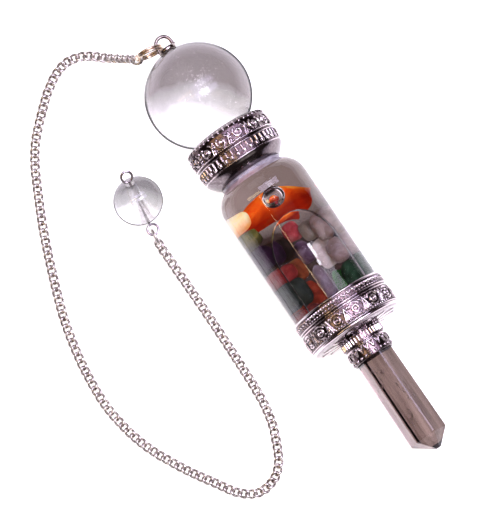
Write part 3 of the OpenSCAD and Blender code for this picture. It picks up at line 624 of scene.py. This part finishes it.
def ferrule():
    mid, root, high, low = FERRULE_S + 0.5 * FERRULE_L, 3.85, 0.24, 0.04
    top = [(FERRULE_S - 0.02, 0.5), (FERRULE_S - 0.02, FERRULE_R - 0.1), (FERRULE_S + 0.06, FERRULE_R)]
    band = resample([(FERRULE_S + 0.06, FERRULE_R), (FERRULE_END - 0.1, FERRULE_R)], 0.06)[1:]
    lip = [(FERRULE_END, FERRULE_R - 0.08), (FERRULE_END, root), (FERRULE_END - 2.5, root - 0.02),
           (FERRULE_END - 2.6, 0.4)]
    leaves = [([(-0.42, 0.1), (0, 1.15), (0.42, 0.1)], 0.17), ([(0, 0.35)], 0.17)]
    teeth = [([(0, 0.0), (0, 1.05)], 0.15)]
    beads = [([(0, 0)], 0.27)]
    small_beads = [([(0, 0)], 0.2)]

    def height(s, clock):
        h = np.maximum.reduce([
            strip(s, clock, FERRULE_S + 0.75, 1.1, 38, FERRULE_R, teeth),
            strip(s, clock, mid + 0.15, 1.2, 21, FERRULE_R, leaves),
            strip(s, clock, FERRULE_END - 0.55, 0.3, 24, FERRULE_R, beads),
            strip(s, clock, FERRULE_S + 0.38, 0.3, 28, FERRULE_R, small_beads),
            0.7 * ridge(s, mid - 0.22, 0.17),
            0.7 * ridge(s, mid + 0.02, 0.1),
        ])
        plain = (s < FERRULE_S + 0.03) | (s > FERRULE_END - 0.08)
        return np.where(plain, 0, h * high - low)

    verts, faces, h = turned(np.array([*top, *band, *lip]), 420, height)
    return piece("ferrule_casting", verts, faces, CAST, ["point_ferrule"],
                 relief=np.clip((h + low) / high, 0, 1))


# Clear pieces

def crystal_ball():
    verts, faces = globe(96, 160)
    verts = BALL + (BALL_R - SKIN) * verts
    piece("ball_of_crystal", verts, faces, BALL_GLASS, ["crystal_ball"])
    # Specks of healed cracks close under the upper face, made bright by their own glow: painted glints, many
    # of them in a cluster near the middle
    m, t, bsdf = material("speck")
    # The specks' glow is painted light: glints
    feed(t, bsdf, {
        "Base Color": (0.95, 0.94, 0.98, 1), "Roughness": 0.3, "Emission Color": (0.95, 0.93, 1.0, 1),
        "Emission Strength": spread(t, noise(t, 1500, 2, 0.5), 0.3, 0.7, 1.5, 5.0),
    })
    count, in_glint_cluster, thin, under, reach = 280, 120, 0.05, 0.5, 8.6
    across, along = np.array(CROSS_WAY), np.array(PAINTED_SHADE_WAY)
    verts, faces = [], []
    for k in range(count):
        near = k < in_glint_cluster
        x, y = rng.normal(0, 2.2 if near else 6.0, 2) * [0.6, 1.0]
        flat = across * (x + (0.8 if near else 0)) + along * (0.7 * y + 1.6)
        if np.linalg.norm(flat) > reach:
            continue
        depth = math.sqrt((BALL_R - under) ** 2 - flat @ flat) - abs(rng.normal(0, 0.6))
        at = BALL + flat + [0, 0, depth]
        size = rng.uniform(0.06, 0.2)
        a, b = rng.normal(0, 1, (2, 3))
        a = unit(a)
        b = unit(b - a * (a @ b))
        faces.append([len(verts) + i for i in range(4)])
        verts += [at + size * a, at + thin * b, at - size * a, at - thin * b]
    piece("ball_specks", verts, faces, m, smooth=False)


def bead(centre, bore):
    """Drilled bead: one surface, the outside and the hole."""
    hole, rows, steps, cols = 0.9, 60, 16, 96
    reach = math.sqrt(BEAD_R**2 - hole**2)
    widest = math.asin(reach / BEAD_R)
    outer = [(BEAD_R * math.sin(a), BEAD_R * math.cos(a)) for a in np.linspace(-widest, widest, rows)]
    inner = [(reach * (1 - 2 * k / steps), hole) for k in range(1, steps)]
    line = np.array(outer + inner)[:, None]
    a = circle(cols)[:, None]
    z = unit(bore)
    x = unit(np.cross(z, [0.1, 0.3, 1.0]))
    y = np.cross(z, x)
    verts = centre + line[..., :1] * z + line[..., 1:] * (np.cos(a) * x + np.sin(a) * y)
    faces = grid_faces(len(line), cols, wrap_rows=True).tolist()
    obj = piece("clear_bead", verts.reshape(-1, 3), faces, BEAD_GLASS, ["bead"], sharp=50)
    second_look(obj, DRILLED, lambda face: face.index // cols >= rows)


def bottle():
    """Glass bottle, its moulded lip painted whitish: a painted highlight."""
    step, wide, skin_r, cols, per = SHOULDER_L, GLASS_R - NECK_R, GLASS_R - SKIN, 192, 6
    outer = [
        (COLLAR_END - 2.0, NECK_R - 0.4), (COLLAR_END - 2.0, NECK_R), (COLLAR_END + 0.02, NECK_R),
        (COLLAR_END + 0.12, NECK_R + 0.26), (COLLAR_END + 0.3, NECK_R + 0.32),
        (COLLAR_END + 0.45, NECK_R + 0.14), (COLLAR_END + 0.6, NECK_R + 0.2),
        (SHOULDER_S + 0.1, NECK_R + 0.42),
        (SHOULDER_S + 0.18 * step, NECK_R + 0.5 * wide), (SHOULDER_S + 0.42 * step, NECK_R + 0.8 * wide),
        (SHOULDER_S + 0.68 * step, NECK_R + 0.95 * wide), (SHOULDER_S + 0.84 * step, NECK_R + 0.985 * wide),
        (BODY_S, skin_r),
    ]
    line = [*smooth_line(outer, per), *[(BODY_S + k, skin_r) for k in (0.15, 0.4, 1, 8, 16, 24, 28)],
            (BOTTOM_S - 0.4, GLASS_R - 0.02), (BOTTOM_S - 0.1, GLASS_R - 0.3), (BOTTOM_S - 0.1, 0.3)]
    verts, faces, _ = turned(line, cols)
    obj = piece("glass_bottle", verts, faces, CHAMBER, ["glass_chamber"], sharp=40)
    lip_rows = 8 * per
    second_look(obj, LIP_PAINTED_HIGHLIGHT, lambda face: face.index // cols < lip_rows)


def liquid():
    """The liquid's face against the glass."""
    step, wide, bore_r = SHOULDER_L, GLASS_R - NECK_R, GLASS_R - WALL
    neck, end = NECK_R - WALL, BOTTOM_S - WALL
    inner = [
        (SHOULDER_S + 0.3, 0.5), (SHOULDER_S + 0.25, neck - 1.2), (SHOULDER_S + 0.35, neck - 0.2),
        (SHOULDER_S + 0.3 * step, neck + 0.52 * wide), (SHOULDER_S + 0.52 * step, neck + 0.8 * wide),
        (SHOULDER_S + 0.78 * step, bore_r - 0.12), (BODY_S + 0.4, bore_r),
    ]
    line = [*smooth_line(inner, 6), *[(BODY_S + k, bore_r) for k in (0.55, 0.8, 1.4, 8, 16, 24)],
            (end - 0.5, bore_r), (end, bore_r - 0.5), (end, 0.3)]
    verts, faces, _ = turned(line, 192)
    piece("liquid_in_glass", verts, faces, LIQUID, inward=True, sharp=40)


def bubbles():
    """Two air bubbles. The long one lies under the top of the wall: a segment of the bore with round
    corners and a round nose. The small one is a little flattened."""
    start, stop, nose, turn = 28.4, BOTTOM_S - WALL - 0.3, 7.6, math.radians(2.5)
    top, soft, half_width = GLASS_R - WALL - 0.1, 0.55, 5.4
    in_nose = [start + nose * (1 - math.cos(q)) for q in np.radians(np.linspace(3, 90, 40))]
    rings = []
    for s in [*in_nose, *np.linspace(start + nose, stop, 24)[1:]]:
        u = min((s - start) / nose, 1.0)
        g = math.sqrt(max(1 - (1 - u) ** 2, 0))
        rho = soft * min(1.0, 0.25 + 1.6 * g)
        inner_r, yc = top - rho, half_width * g
        phi = math.asin(yc / inner_r)
        zc = inner_r * math.cos(phi)
        down = np.linspace(phi, math.pi, 14)
        arc = [(top * math.sin(a), top * math.cos(a)) for a in np.linspace(-phi, phi, 41)]
        corner = [(yc + rho * math.sin(a), zc + rho * math.cos(a)) for a in down[1:]]
        base = [(y, zc - rho) for y in np.linspace(yc, -yc, 16)[1:]]
        back = [(-yc - rho * math.sin(a), zc + rho * math.cos(a)) for a in down[::-1][1:-1]]
        y, z = np.array(arc + corner + base + back).T
        across, up = y * math.cos(turn) + z * math.sin(turn), z * math.cos(turn) - y * math.sin(turn)
        rings.append(np.stack([np.full(len(y), s), across, up], -1))
    faces = tube_faces(len(rings), len(rings[0]))
    obj = piece("long_bubble", lay(np.concatenate(rings)), faces, BUBBLE, inward=True)
    second_look(obj, BUBBLE_BASE, lambda face: face.normal.z > 0.7)
    size = np.array([2.0, 2.0, 1.6])
    verts, faces = globe(28, 40)
    at = np.array([24.4, 0.3, GLASS_R - WALL - size[2] - 0.14])
    piece("small_bubble", lay(verts * size + at), faces, BUBBLE, inward=True)


def crystal_point():
    """Six-sided crystal with softened edges, its tip a little off centre."""
    sides, turn, soft = 6, math.radians(15), 0.045

    def way(a):
        return np.array([math.sin(a), math.cos(a)])

    def ring(s, width):
        out = []
        for a in turn + np.arange(sides) * math.pi / 3:
            for side in (-1, 1):
                p = width / 2 * (way(a) * (1 - soft) + way(a + side * math.pi / 3) * soft)
                out.append((s, *p))
        return out

    rows = [ring(POINT_S + 0.05, 7.4), ring(FERRULE_END, 7.42), ring(POINT_SHOULDER - 0.12, 7.78),
            ring(POINT_SHOULDER + 0.1, 7.7)]
    rows.append([(TIP_S - 0.06, 0.39 + 0.13 * y, 0.13 * z) for _, y, z in ring(0, 7.7)])
    faces = tube_faces(len(rows), 2 * sides)
    piece("smoky_point", lay(np.concatenate(rows)), faces, POINT_CRYSTAL, ["crystal_point"],
          smooth=False)


def veils():
    """Thin torn sheets in the crystal."""
    m, t, bsdf = material("crystal_veil")
    feed(t, bsdf, {"Base Color": (0.95, 0.9, 0.9, 1), "Roughness": 0.4,
                   "Alpha": spread(t, noise(t, 900, 5, 0.7, 0.8), 0.46, 0.62, 0.0, 0.8)})
    rows, cols = 14, 10
    faces = grid_faces(rows, cols, wrap_cols=False).tolist()
    # Middle, length and width, turn and roll in degrees
    for k, (at, (long, across), yaw, roll) in enumerate([
        ((61.0, -1.0, 0.6), (3.0, 1.3), 35, 20), ((63.5, -1.6, -0.4), (2.6, 1.0), -20, 50),
        ((66.5, 0.9, 0.2), (4.5, 0.8), 8, 70), ((71.5, -0.4, -0.8), (3.5, 1.1), -12, 40),
    ]):
        u, v = np.meshgrid(np.linspace(-1, 1, rows), np.linspace(-1, 1, cols), indexing="ij")
        x, y = u * long / 2, v * np.sqrt(np.clip(1 - u**2, 0, 1)) * across / 2
        z = 0.14 * np.sin(3 * u + k) * np.cos(4 * v) + 0.05 * rng.standard_normal(u.shape)
        a, b = math.radians(yaw), math.radians(roll)
        y, z = y * math.cos(b) - z * math.sin(b), y * math.sin(b) + z * math.cos(b)
        x, y = x * math.cos(a) - y * math.sin(a), x * math.sin(a) + y * math.cos(a)
        sheet = np.stack([x, y, z], -1).reshape(-1, 3) + at
        piece(f"crystal_veil_{k + 1}", lay(sheet), faces, m)


# Bail and split ring. The ring hangs in the bail's eye.
EYE_R, BAIL_WIRE_R, EYE_LEG, DISC_T, DISC_R = 1.5, 0.35, 0.75, 0.75, 1.8
DISC_S = -(BALL_R + GAP + DISC_T)
EYE_S = DISC_S - EYE_LEG
RING_OUTER, RING_WIRE, RING_PITCH, RING_DROP, RING_PLAY = 5.6, 0.5, 0.46, 0.9, 0.25
RING_R = (RING_OUTER - RING_WIRE) / 2
RING_TURN, RING_LEAN = math.radians(9), math.radians(2)
RING_ACROSS = np.array([math.sin(RING_TURN), math.cos(RING_TURN), 0])
RING_UP = np.array([0, 0, math.cos(RING_LEAN)]) + math.sin(RING_LEAN) * np.array(
    [-math.cos(RING_TURN), math.sin(RING_TURN), 0])
RING_CENTRE = (np.array([EYE_S, -(EYE_R - BAIL_WIRE_R - RING_WIRE / 2 - RING_PLAY), 0])
               - math.sqrt(RING_R**2 - RING_DROP**2) * RING_ACROSS - RING_DROP * RING_UP)


def peg_bail():
    a = np.radians(np.linspace(90, 270, 40))
    arc = np.stack([EYE_S + EYE_R * np.cos(a), EYE_R * np.sin(a), np.zeros(40)], -1)
    legs = [(DISC_S + 0.3, EYE_R, 0), (DISC_S - 0.2, EYE_R, 0)]
    other = [(s, -y, z) for s, y, z in reversed(legs)]
    wire = sweep(resample([*legs, *arc, *other], 0.15), BAIL_WIRE_R, 20)
    s0, s1 = DISC_S, DISC_S + DISC_T
    line = [(s0, 0.2), (s0, DISC_R - 0.55), (s0 + 0.03, DISC_R - 0.2), (s0 + 0.14, DISC_R - 0.05),
            (s0 + 0.3, DISC_R), (s1 - 0.15, DISC_R), (s1 - 0.03, DISC_R - 0.06), (s1, DISC_R - 0.2),
            (s1, 0.2)]
    s, r = np.array(line).T[..., None]
    c = circle(96)
    disc = np.stack(np.broadcast_arrays(s, r * np.sin(c), r * np.cos(c)), -1).reshape(-1, 3)
    solder = []
    for side in (-1, 1):
        v, f = globe(12, 20)
        solder.append((v * [0.22, 0.52, 0.52] + [DISC_S - 0.02, side * EYE_R, 0], f))
    verts, faces = join(wire, (disc, tube_faces(len(line), len(c))), *solder)
    piece("bail_on_ball", lay(verts), faces, BAIL_METAL, ["peg_bail"], sharp=55)


def split_ring():
    """Two turns of round wire that lie side by side."""
    a = np.radians(np.linspace(-200, 505, 240))
    shift = RING_PITCH / 2 * np.tanh((a - math.radians(152)) / 0.22)
    flat = RING_R * (np.cos(a)[:, None] * RING_ACROSS + np.sin(a)[:, None] * RING_UP)
    path = RING_CENTRE + flat + shift[:, None] * np.cross(RING_ACROSS, RING_UP)
    verts, faces = sweep(path, RING_WIRE / 2, 16)
    piece("bronze_split_ring", lay(verts), faces, BRONZE, ["split_ring"], sharp=60)


# Chain and bead wire, with the sizes and rolls of the solid links. SEEN_WIRE is the wire as it shows.
LINK_W, LINK_WIRE, LINK_PITCH, LINK_GAP = 1.78, 0.36, 1.42, 0.2
SEEN_WIRE = 0.58
LOOP_WIRE, LOOP_OUTER, LOOP_NECK, LOOP_GAP = 0.5, 2.56, 1.1, 0.1
TWIST, END_GROW = 48.0, 1.4
FIRST_ROLL, HOOK_ROLL, LAST_ROLL, ROLL_LINKS = 15.0, 90.0, -30.0, 6
LINK_A = (LINK_PITCH + LINK_WIRE + LINK_GAP) / 2
LINK_B = (LINK_W - LINK_WIRE) / 2
END_A, END_B = LINK_A * END_GROW, LINK_B * END_GROW
BEAD_BEARING, BEAD_SLOPE, LOOP_SLOPE = math.radians(-4), math.radians(48), math.radians(25)
BEARING = np.array([math.cos(BEAD_BEARING), math.sin(BEAD_BEARING), 0])
UP = np.array([0.0, 0, 1])
BORE = math.cos(BEAD_SLOPE) * BEARING - math.sin(BEAD_SLOPE) * UP
LOOP_TILT = math.cos(LOOP_SLOPE) * BEARING - math.sin(LOOP_SLOPE) * UP
LOOP_R = (LOOP_OUTER - LOOP_WIRE) / 2
LOWER_EXIT = BEAD_AT + (BEAD_R + LOOP_WIRE / 2 + LOOP_GAP) * BORE
UPPER_EXIT = BEAD_AT - (BEAD_R + LOOP_WIRE / 2 + LOOP_GAP) * BORE
LOWER_LOOP = LOWER_EXIT + (LOOP_NECK + LOOP_R) * BEARING
UPPER_LOOP = UPPER_EXIT - LOOP_R * LOOP_TILT
# The chain's way: along, across and height above where it lies flat, from the ball's centre
CHAIN_ROUTE = [
    (-13.8, -6.7, 5.1), (-15.5, -8.2, 2.8), (-17, -9.7, 1.3), (-18.6, -11.3, 0.5),
    (-19.9, -13.5, 0.1), (-20.3, -16, 0), (-19.6, -18.6, 0), (-18.3, -20.8, 0), (-16.5, -23.2, 0),
    (-11.9, -28.1, 0), (-8.7, -30.6, 0), (-4.8, -32.8, 0), (4.9, -37.4, 0), (17, -42, 0),
    (23.9, -43.9, 0), (31.3, -45.1, 0), (39, -45.3, 0), (47.3, -43.6, 0), (54.9, -40.1, 0),
    (60.6, -36.6, 0), (64.4, -34.1, 0), (66.5, -31.1, 0), (66.2, -27.6, 0), (64.1, -24.9, 0),
    (60.5, -23, 0), (56.3, -21.5, 0), (50.2, -20.7, 0), (36.2, -20.4, 0), (22.7, -20.5, 0.05),
    (18.6, -20.6, 0.35),
]


def lie_at(b, twist, roll):
    """Height of a link's middle when it lies on the surface."""
    t = np.radians(np.arange(0, 181, 10))
    return LINK_WIRE / 2 + b * np.abs(np.sin(t) * np.sin(np.radians(twist * np.cos(t) + roll))).max()


def one_link(at, x, a, b, twist, roll):
    """A twisted oval of round wire, its length along x, rolled about it."""
    steps, sides = 26, 10
    flat_y = unit(np.cross(UP, x))
    flat_z = np.cross(x, flat_y)
    roll = math.radians(roll)
    y = math.cos(roll) * flat_y + math.sin(roll) * flat_z
    z = np.cross(x, y)

    def core(t):
        turn = np.radians(twist * np.cos(t))
        return np.stack([a * np.cos(t), b * np.sin(t) * np.cos(turn), b * np.sin(t) * np.sin(turn)], -1)

    t = circle(steps)
    c = core(t)
    along = unit(core(t + 0.02) - core(t - 0.02))
    side = unit(np.cross(along, c))[:, None]
    out = np.cross(side[:, 0], along)[:, None]
    j = circle(sides)[None, :, None]
    p = (c[:, None] + SEEN_WIRE / 2 * (np.cos(j) * out + np.sin(j) * side)).reshape(-1, 3)
    return at + p[:, :1] * x + p[:, 1:2] * y + p[:, 2:] * z, grid_faces(steps, sides, wrap_rows=True).tolist()


def chain():
    """Loose links along the route, larger ones at both ends."""
    hang, side, lie = math.radians(32), math.radians(-22), lie_at(LINK_B, TWIST, 0)
    hook = RING_CENTRE - RING_R * (math.cos(hang) * RING_ACROSS + math.sin(hang) * RING_UP)
    far = LOWER_LOOP + LOOP_R * np.array([math.cos(side), math.sin(side), 0])
    far[2] = lie_at(END_B, 0, HOOK_ROLL) - BALL_R
    route = [lay(hook) - BALL, *(np.array([x, y, h + lie - BALL_R]) for x, y, h in CHAIN_ROUTE), far]
    rail = smooth_line(route, 10)
    run = np.concatenate([[0], np.cumsum(np.linalg.norm(np.diff(rail, axis=0), axis=1))])

    def at_run(d):
        p = np.array([np.interp(d, run, rail[:, k]) for k in range(3)])
        p[2] = max(p[2], lie - BALL_R)
        return p

    def ahead(d):
        return unit(at_run(d + LINK_A / 2) - at_run(d - LINK_A / 2))

    def ease(t):
        return 0 if t <= 0 else t * t * (3 - 2 * t)

    end_step = END_A + LINK_A - LINK_WIRE - 1.7 * LINK_GAP
    first = END_A - RING_WIRE / 2 - LINK_WIRE / 2 - 2 * LINK_GAP
    last = run[-1] - (END_A - LOOP_WIRE / 2 - LINK_WIRE / 2 - 2 * LINK_GAP)
    common = last - first - 2 * end_step
    gaps = round(common / LINK_PITCH)
    parts = [one_link(at_run(first), ahead(first), END_A, END_B, TWIST, FIRST_ROLL)]
    for k in range(gaps + 1):
        d = first + end_step + k * common / gaps
        roll = FIRST_ROLL * ease(1 - k / ROLL_LINKS) + LAST_ROLL * ease(1 - (gaps - k) / ROLL_LINKS)
        rise = lie_at(LINK_B, TWIST, roll) - lie
        parts.append(one_link(at_run(d) + rise * UP, ahead(d), LINK_A, LINK_B, TWIST, roll))
    at = at_run(last)
    at[2] = far[2]
    parts.append(one_link(at, ahead(last), END_A, END_B, 0, HOOK_ROLL))
    verts, faces = join(*parts)
    verts[:, 2] += (SEEN_WIRE - LINK_WIRE) / 2
    piece("curb_chain", verts + BALL, faces, CHAIN_METAL, ["chain"])


def bead_wire():
    """One wire: upper loop, through the bead, lower loop."""
    flat = np.cross(UP, BEARING)
    a = np.linspace(0, 2 * math.pi * 0.97, 44)[:, None]
    upper = UPPER_LOOP + LOOP_R * (np.cos(a) * LOOP_TILT + np.sin(a) * flat)
    lower = LOWER_LOOP + LOOP_R * (-np.cos(a) * BEARING + np.sin(a) * flat)
    through = [UPPER_EXIT + (LOWER_EXIT - UPPER_EXIT) * k / 20 for k in range(1, 20)]
    neck = [UPPER_EXIT + 0.05 * BORE, *through,
            LOWER_EXIT - 0.2 * BORE, LOWER_EXIT + 0.12 * BEARING, LOWER_LOOP - LOOP_R * BEARING]
    verts, faces = join(*[sweep(path, LOOP_WIRE / 2) for path in (upper, lower, smooth_line(neck, 3))])
    piece("bead_wire_loops", verts + BALL, faces, WIRE, ["bead_wire"], sharp=60)


# Gem chips. Three colours each, dark to light. Their glow is painted light that makes the chip shine.
STONES = {
    "citrine": dict(colours=[(0.95, 0.6, 0.2), (1.0, 0.84, 0.5), (1.0, 0.96, 0.75)], sub=0.3, glow=0.55,
                    fade=((0.85, 0.45, 0.22), 23.6, 25.4)),
    "olive_jade": dict(colours=[(0.05, 0.06, 0.015), (0.16, 0.16, 0.04), (0.4, 0.34, 0.1)], glow=0.12,
                       fade=((0.35, 0.3, 0.4), 27.0, 29.2)),
    "sodalite": dict(colours=[(0.012, 0.005, 0.012), (0.035, 0.012, 0.035), (0.08, 0.035, 0.08)], glow=0.02),
    "red_jasper": dict(colours=[(0.09, 0.008, 0.008), (0.27, 0.03, 0.028), (0.45, 0.1, 0.08)], glow=0.07),
    "aventurine": dict(colours=[(0.015, 0.02, 0.016), (0.035, 0.05, 0.04), (0.08, 0.1, 0.085)], glow=0.03),
    "mahogany": dict(colours=[(0.07, 0.01, 0.01), (0.2, 0.04, 0.035), (0.34, 0.09, 0.07)], glow=0.05),
    "carnelian": dict(colours=[(0.62, 0.03, 0.002), (0.92, 0.13, 0.01), (1.0, 0.4, 0.05)],
                      sub=0.4, glow=0.45,
                      fade=((0.3, 0.09, 0.12), 23.0, 26.0)),
    "rhodonite": dict(colours=[(0.3, 0.02, 0.025), (0.5, 0.06, 0.07), (0.75, 0.26, 0.24)],
                      sub=0.2, glow=0.1),
    "moss_agate": dict(colours=[(0.012, 0.008, 0.007), (0.035, 0.02, 0.015), (0.1, 0.06, 0.045)], glow=0.02),
    "fire_agate": dict(colours=[(0.08, 0.012, 0.006), (0.3, 0.08, 0.03), (0.42, 0.2, 0.07)],
                       sub=0.2, glow=0.08),
    "red_agate": dict(colours=[(0.07, 0.008, 0.005), (0.26, 0.035, 0.018), (0.42, 0.09, 0.04)],
                      sub=0.2, glow=0.08),
    "amethyst": dict(colours=[(0.04, 0.018, 0.04), (0.11, 0.055, 0.1), (0.32, 0.24, 0.34)],
                     sub=0.3, glow=0.04),
    "lilac_quartz": dict(colours=[(0.17, 0.12, 0.15), (0.29, 0.23, 0.28), (0.54, 0.48, 0.55)],
                         sub=0.4, glow=0.08),
    "grey_quartz": dict(colours=[(0.2, 0.16, 0.12), (0.34, 0.28, 0.23), (0.55, 0.48, 0.42)],
                        sub=0.3, glow=0.08),
    "rose_quartz": dict(colours=[(0.34, 0.27, 0.26), (0.58, 0.48, 0.46), (0.85, 0.77, 0.75)],
                        sub=0.4, glow=0.2),
    "jade": dict(colours=[(0.008, 0.045, 0.008), (0.03, 0.17, 0.025), (0.1, 0.36, 0.08)],
                 sub=0.2, glow=0.1),
    "dark_jade": dict(colours=[(0.01, 0.03, 0.015), (0.03, 0.08, 0.045), (0.07, 0.17, 0.1)], glow=0.04),
    "mauve_quartz": dict(colours=[(0.2, 0.15, 0.14), (0.38, 0.29, 0.28), (0.7, 0.6, 0.58)],
                         sub=0.4, glow=0.12),
    "ice_quartz": dict(colours=[(0.19, 0.145, 0.13), (0.32, 0.245, 0.22), (0.58, 0.48, 0.45)],
                       sub=0.4, glow=0.08),
}


def rounded(name, solid):
    """The solid's mesh under a new name, its doubled corners merged, subdivided three times."""
    mesh = bpy.data.meshes.new(name)
    where, index, corners = {}, [], []
    for v in solid.vertices:
        p = np.array(v.co[:])
        index.append(where.setdefault(tuple(np.round(p * 1e6).astype(int)), len(where)))
        if len(where) > len(corners):
            corners.append(p.tolist())
    faces = [[index[i] for i in f.vertices] for f in solid.polygons]
    mesh.from_pydata(corners, [], [f for f in faces if len(set(f)) == len(f)])
    obj = bpy.data.objects.new(name, mesh)
    bpy.context.collection.objects.link(obj)
    sub = obj.modifiers.new("round", "SUBSURF")
    sub.levels = sub.render_levels = 3
    obj.data = bpy.data.meshes.new_from_object(obj.evaluated_get(bpy.context.evaluated_depsgraph_get()))
    obj.modifiers.clear()
    return obj


def chip(name, number, look):
    """The CAD pebble refined: rounded, swollen back to its size, then worn and dented a little."""
    swell, waves, dents = 0.24, 0.12, 7
    obj = rounded(f"chip_{name}_stone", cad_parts[f"chip_{name}"].data)
    v = np.array([x.co[:] for x in obj.data.vertices])
    centre = v.mean(0)
    d = v - centre
    reach = np.linalg.norm(d, axis=1)
    gen = np.random.default_rng(100 + number)
    dent = np.zeros(len(v))
    for _ in range(dents):
        n = unit(gen.standard_normal(3))
        cut = 0.78 + 0.16 * gen.random()
        dent = np.maximum(dent, np.clip((d / reach[:, None]) @ n - cut, 0, 1))
    bumps = sum(np.sin(v @ gen.normal(0, 900, 3) + gen.uniform(0, 6)) for _ in range(6)) / 6
    grow = 1 + (swell + waves * bumps) * MM / reach
    v = centre + d * (grow - 0.5 * dent)[:, None]
    obj.data.vertices.foreach_set("co", v.reshape(-1))
    obj.data.update()
    obj.data.materials.clear()
    obj.data.materials.append(stone(f"chip_{name}_look", scale=420.0 / (1 + 120 * np.abs(d).max()), **look))
    obj.data.shade_smooth()
    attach(obj, "root")
    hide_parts(f"chip_{name}")


# Camera. The ball's centre stands BALL_PX from the picture's middle, in pixels.
PX_PER_MM = 5.445
PICTURE_TALL = 526
BALL_PX = (-42.8, -167.8)
AZIMUTH, ELEVATION = math.radians(56.35), math.radians(80)
ACROSS = Vector((math.cos(AZIMUTH), math.sin(AZIMUTH), 0))
DOWN = Vector((math.sin(AZIMUTH), -math.cos(AZIMUTH), 0))
BACK = DOWN * math.cos(ELEVATION) + Vector((0, 0, math.sin(ELEVATION)))
AIM = Vector(BALL) - (ACROSS * BALL_PX[0] + DOWN * BALL_PX[1] / math.sin(ELEVATION)) / PX_PER_MM


def camera():
    data = bpy.data.cameras.new("camera")
    data.lens, data.sensor_width = 600.0, 36.0
    data.clip_start, data.clip_end = 0.01, 20
    distance = PICTURE_TALL / PX_PER_MM * data.lens / data.sensor_width
    obj = bpy.data.objects.new("camera", data)
    obj.location = (AIM + BACK * distance) * MM
    obj.rotation_mode = "QUATERNION"
    obj.rotation_quaternion = (-BACK).to_track_quat("-Z", "Y")
    bpy.context.collection.objects.link(obj)
    bpy.context.scene.camera = obj


def floor():
    """White paper, lit from within where the photograph shows it, fading out round that."""
    size, n, glow, half_across, half_down = 3000.0, 9, 0.92, 44, 48
    x, y = np.meshgrid(*[np.linspace(-size / 2, size / 2, n)] * 2, indexing="ij")
    verts = np.stack([x, y, np.full_like(x, -0.02)], -1).reshape(-1, 3) * MM
    mesh = bpy.data.meshes.new("floor")
    mesh.from_pydata(verts.tolist(), [], grid_faces(n, n, wrap_cols=False)[:, ::-1].tolist())
    m, t, bsdf = material("floor_paper")
    middle = [-c * MM for c in AIM @ Matrix.Rotation(AZIMUTH, 3, "Z")]
    side = split(t, mapped(t, {"Location": middle, "Rotation": (0, 0, -AZIMUTH)}))
    over = [compute(t, "SUBTRACT", compute(t, "ABSOLUTE", side[axis]), half * MM)
            for axis, half in (("X", half_across), ("Y", half_down))]
    feed(t, bsdf, {
        "Base Color": ramp(t, noise(t, 30, 3, 0.5), [(0.3, (0.86, 0.855, 0.86)), (0.7, (0.88, 0.875, 0.88))]),
        "Roughness": 0.9, "Specular IOR Level": 0.1, "Emission Color": (1.0, 0.985, 1.0, 1),
        "Emission Strength": spread(t, compute(t, "MAXIMUM", *over), 0.004, 0.035, glow, 0.0),
    })
    mesh.materials.append(m)
    obj = bpy.data.objects.new("floor", mesh)
    bpy.context.collection.objects.link(obj)


# All lamps face the pendant's axis at this station. Each has a name, a place from the ball's centre,
# its size along and across the pendant, its brightness and its colour.
FACE_S = 34.0
LAMPS = [
    ("overhead_panel", (5, 72, 316), 230, 320, 0.15, (0.9, 0.86, 1.0)),
    ("lavender_over_cap", (48, 80, 300), 72, 320, 6.0, (0.78, 0.7, 1.0)),
    ("core_over_cap", (48, 57, 294), 70, 110, 13.0, (0.9, 0.87, 1.0)),
    ("lavender_over_collar", (-60, 80, 300), 72, 300, 5.0, (0.78, 0.7, 1.0)),
    ("core_over_collar", (-44, 90, 290), 40, 80, 3.5, (0.9, 0.87, 1.0)),
    ("lavender_over_bubble", (5, 119, 288), 14, 144, 2.6, (0.88, 0.84, 1.0)),
    ("key_over_bubble", (-0.2, 74, 302), 3.4, 34, 20.0, (0.93, 0.9, 1.0)),
    ("key_beside_bubble", (3.4, 56, 302), 1.4, 26, 18.0, (0.93, 0.9, 1.0)),
    ("key_over_ball", (-138, 132, 300), 26, 40, 8.0, (0.95, 0.92, 1.0)),
    ("gold_over_cap", (19, -194, 244), 14, 104, 9.0, (1.0, 0.72, 0.4)),
    ("gold_beside_cap", (19, -83, 300), 14, 38, 9.0, (1.0, 0.78, 0.5)),
    ("gold_over_collar", (-36, -155, 270), 22, 200, 5.0, (1.0, 0.72, 0.4)),
    ("warm_strip", (-4.5, -106, 292), 29, 6, 12.0, (1.0, 0.7, 0.42)),
    ("fill_past_tip", (264, 60, 230), 200, 260, 0.6, (1.0, 0.98, 0.94)),
    ("fill_past_ball", (-240, -30, 230), 200, 260, 0.6, (1.0, 0.98, 0.96)),
]


def lamp(name, at, along, across, radiance, colour):
    """A rectangular lamp, its first side along the pendant."""
    data = bpy.data.lights.new(name, "AREA")
    data.shape = "RECTANGLE"
    data.size, data.size_y = along * MM, across * MM
    data.energy = radiance * math.pi * along * across * MM * MM
    data.color = colour
    obj = bpy.data.objects.new(name, data)
    obj.location = (Vector(BALL) + Vector(at)) * MM
    z = (Vector(at) - Vector((FACE_S, 0, 0))).normalized()
    x = (Vector((1, 0, 0)) - z * z.x).normalized()
    obj.rotation_mode = "QUATERNION"
    obj.rotation_quaternion = Matrix((x, z.cross(x), z)).transposed().to_quaternion()
    bpy.context.collection.objects.link(obj)


def lights():
    world = bpy.data.worlds.new("studio")
    bpy.context.scene.world = world
    world.use_nodes = True
    back = world.node_tree.nodes["Background"]
    back.inputs["Color"].default_value = (0.5, 0.36, 0.36, 1)
    back.inputs["Strength"].default_value = 0.09
    for row in LAMPS:
        lamp(*row)


camera()
floor()
lights()
crystal_ball()
peg_bail()
split_ring()
chain()
bead(BALL + BEAD_AT, BORE)
bead_wire()
collar()
bottle()
liquid()
bubbles()
base_cap()
ferrule()
crystal_point()
veils()
for number, (name, look) in enumerate(STONES.items()):
    chip(name, number, look)
bpy.context.scene.view_settings.view_transform = "Standard"
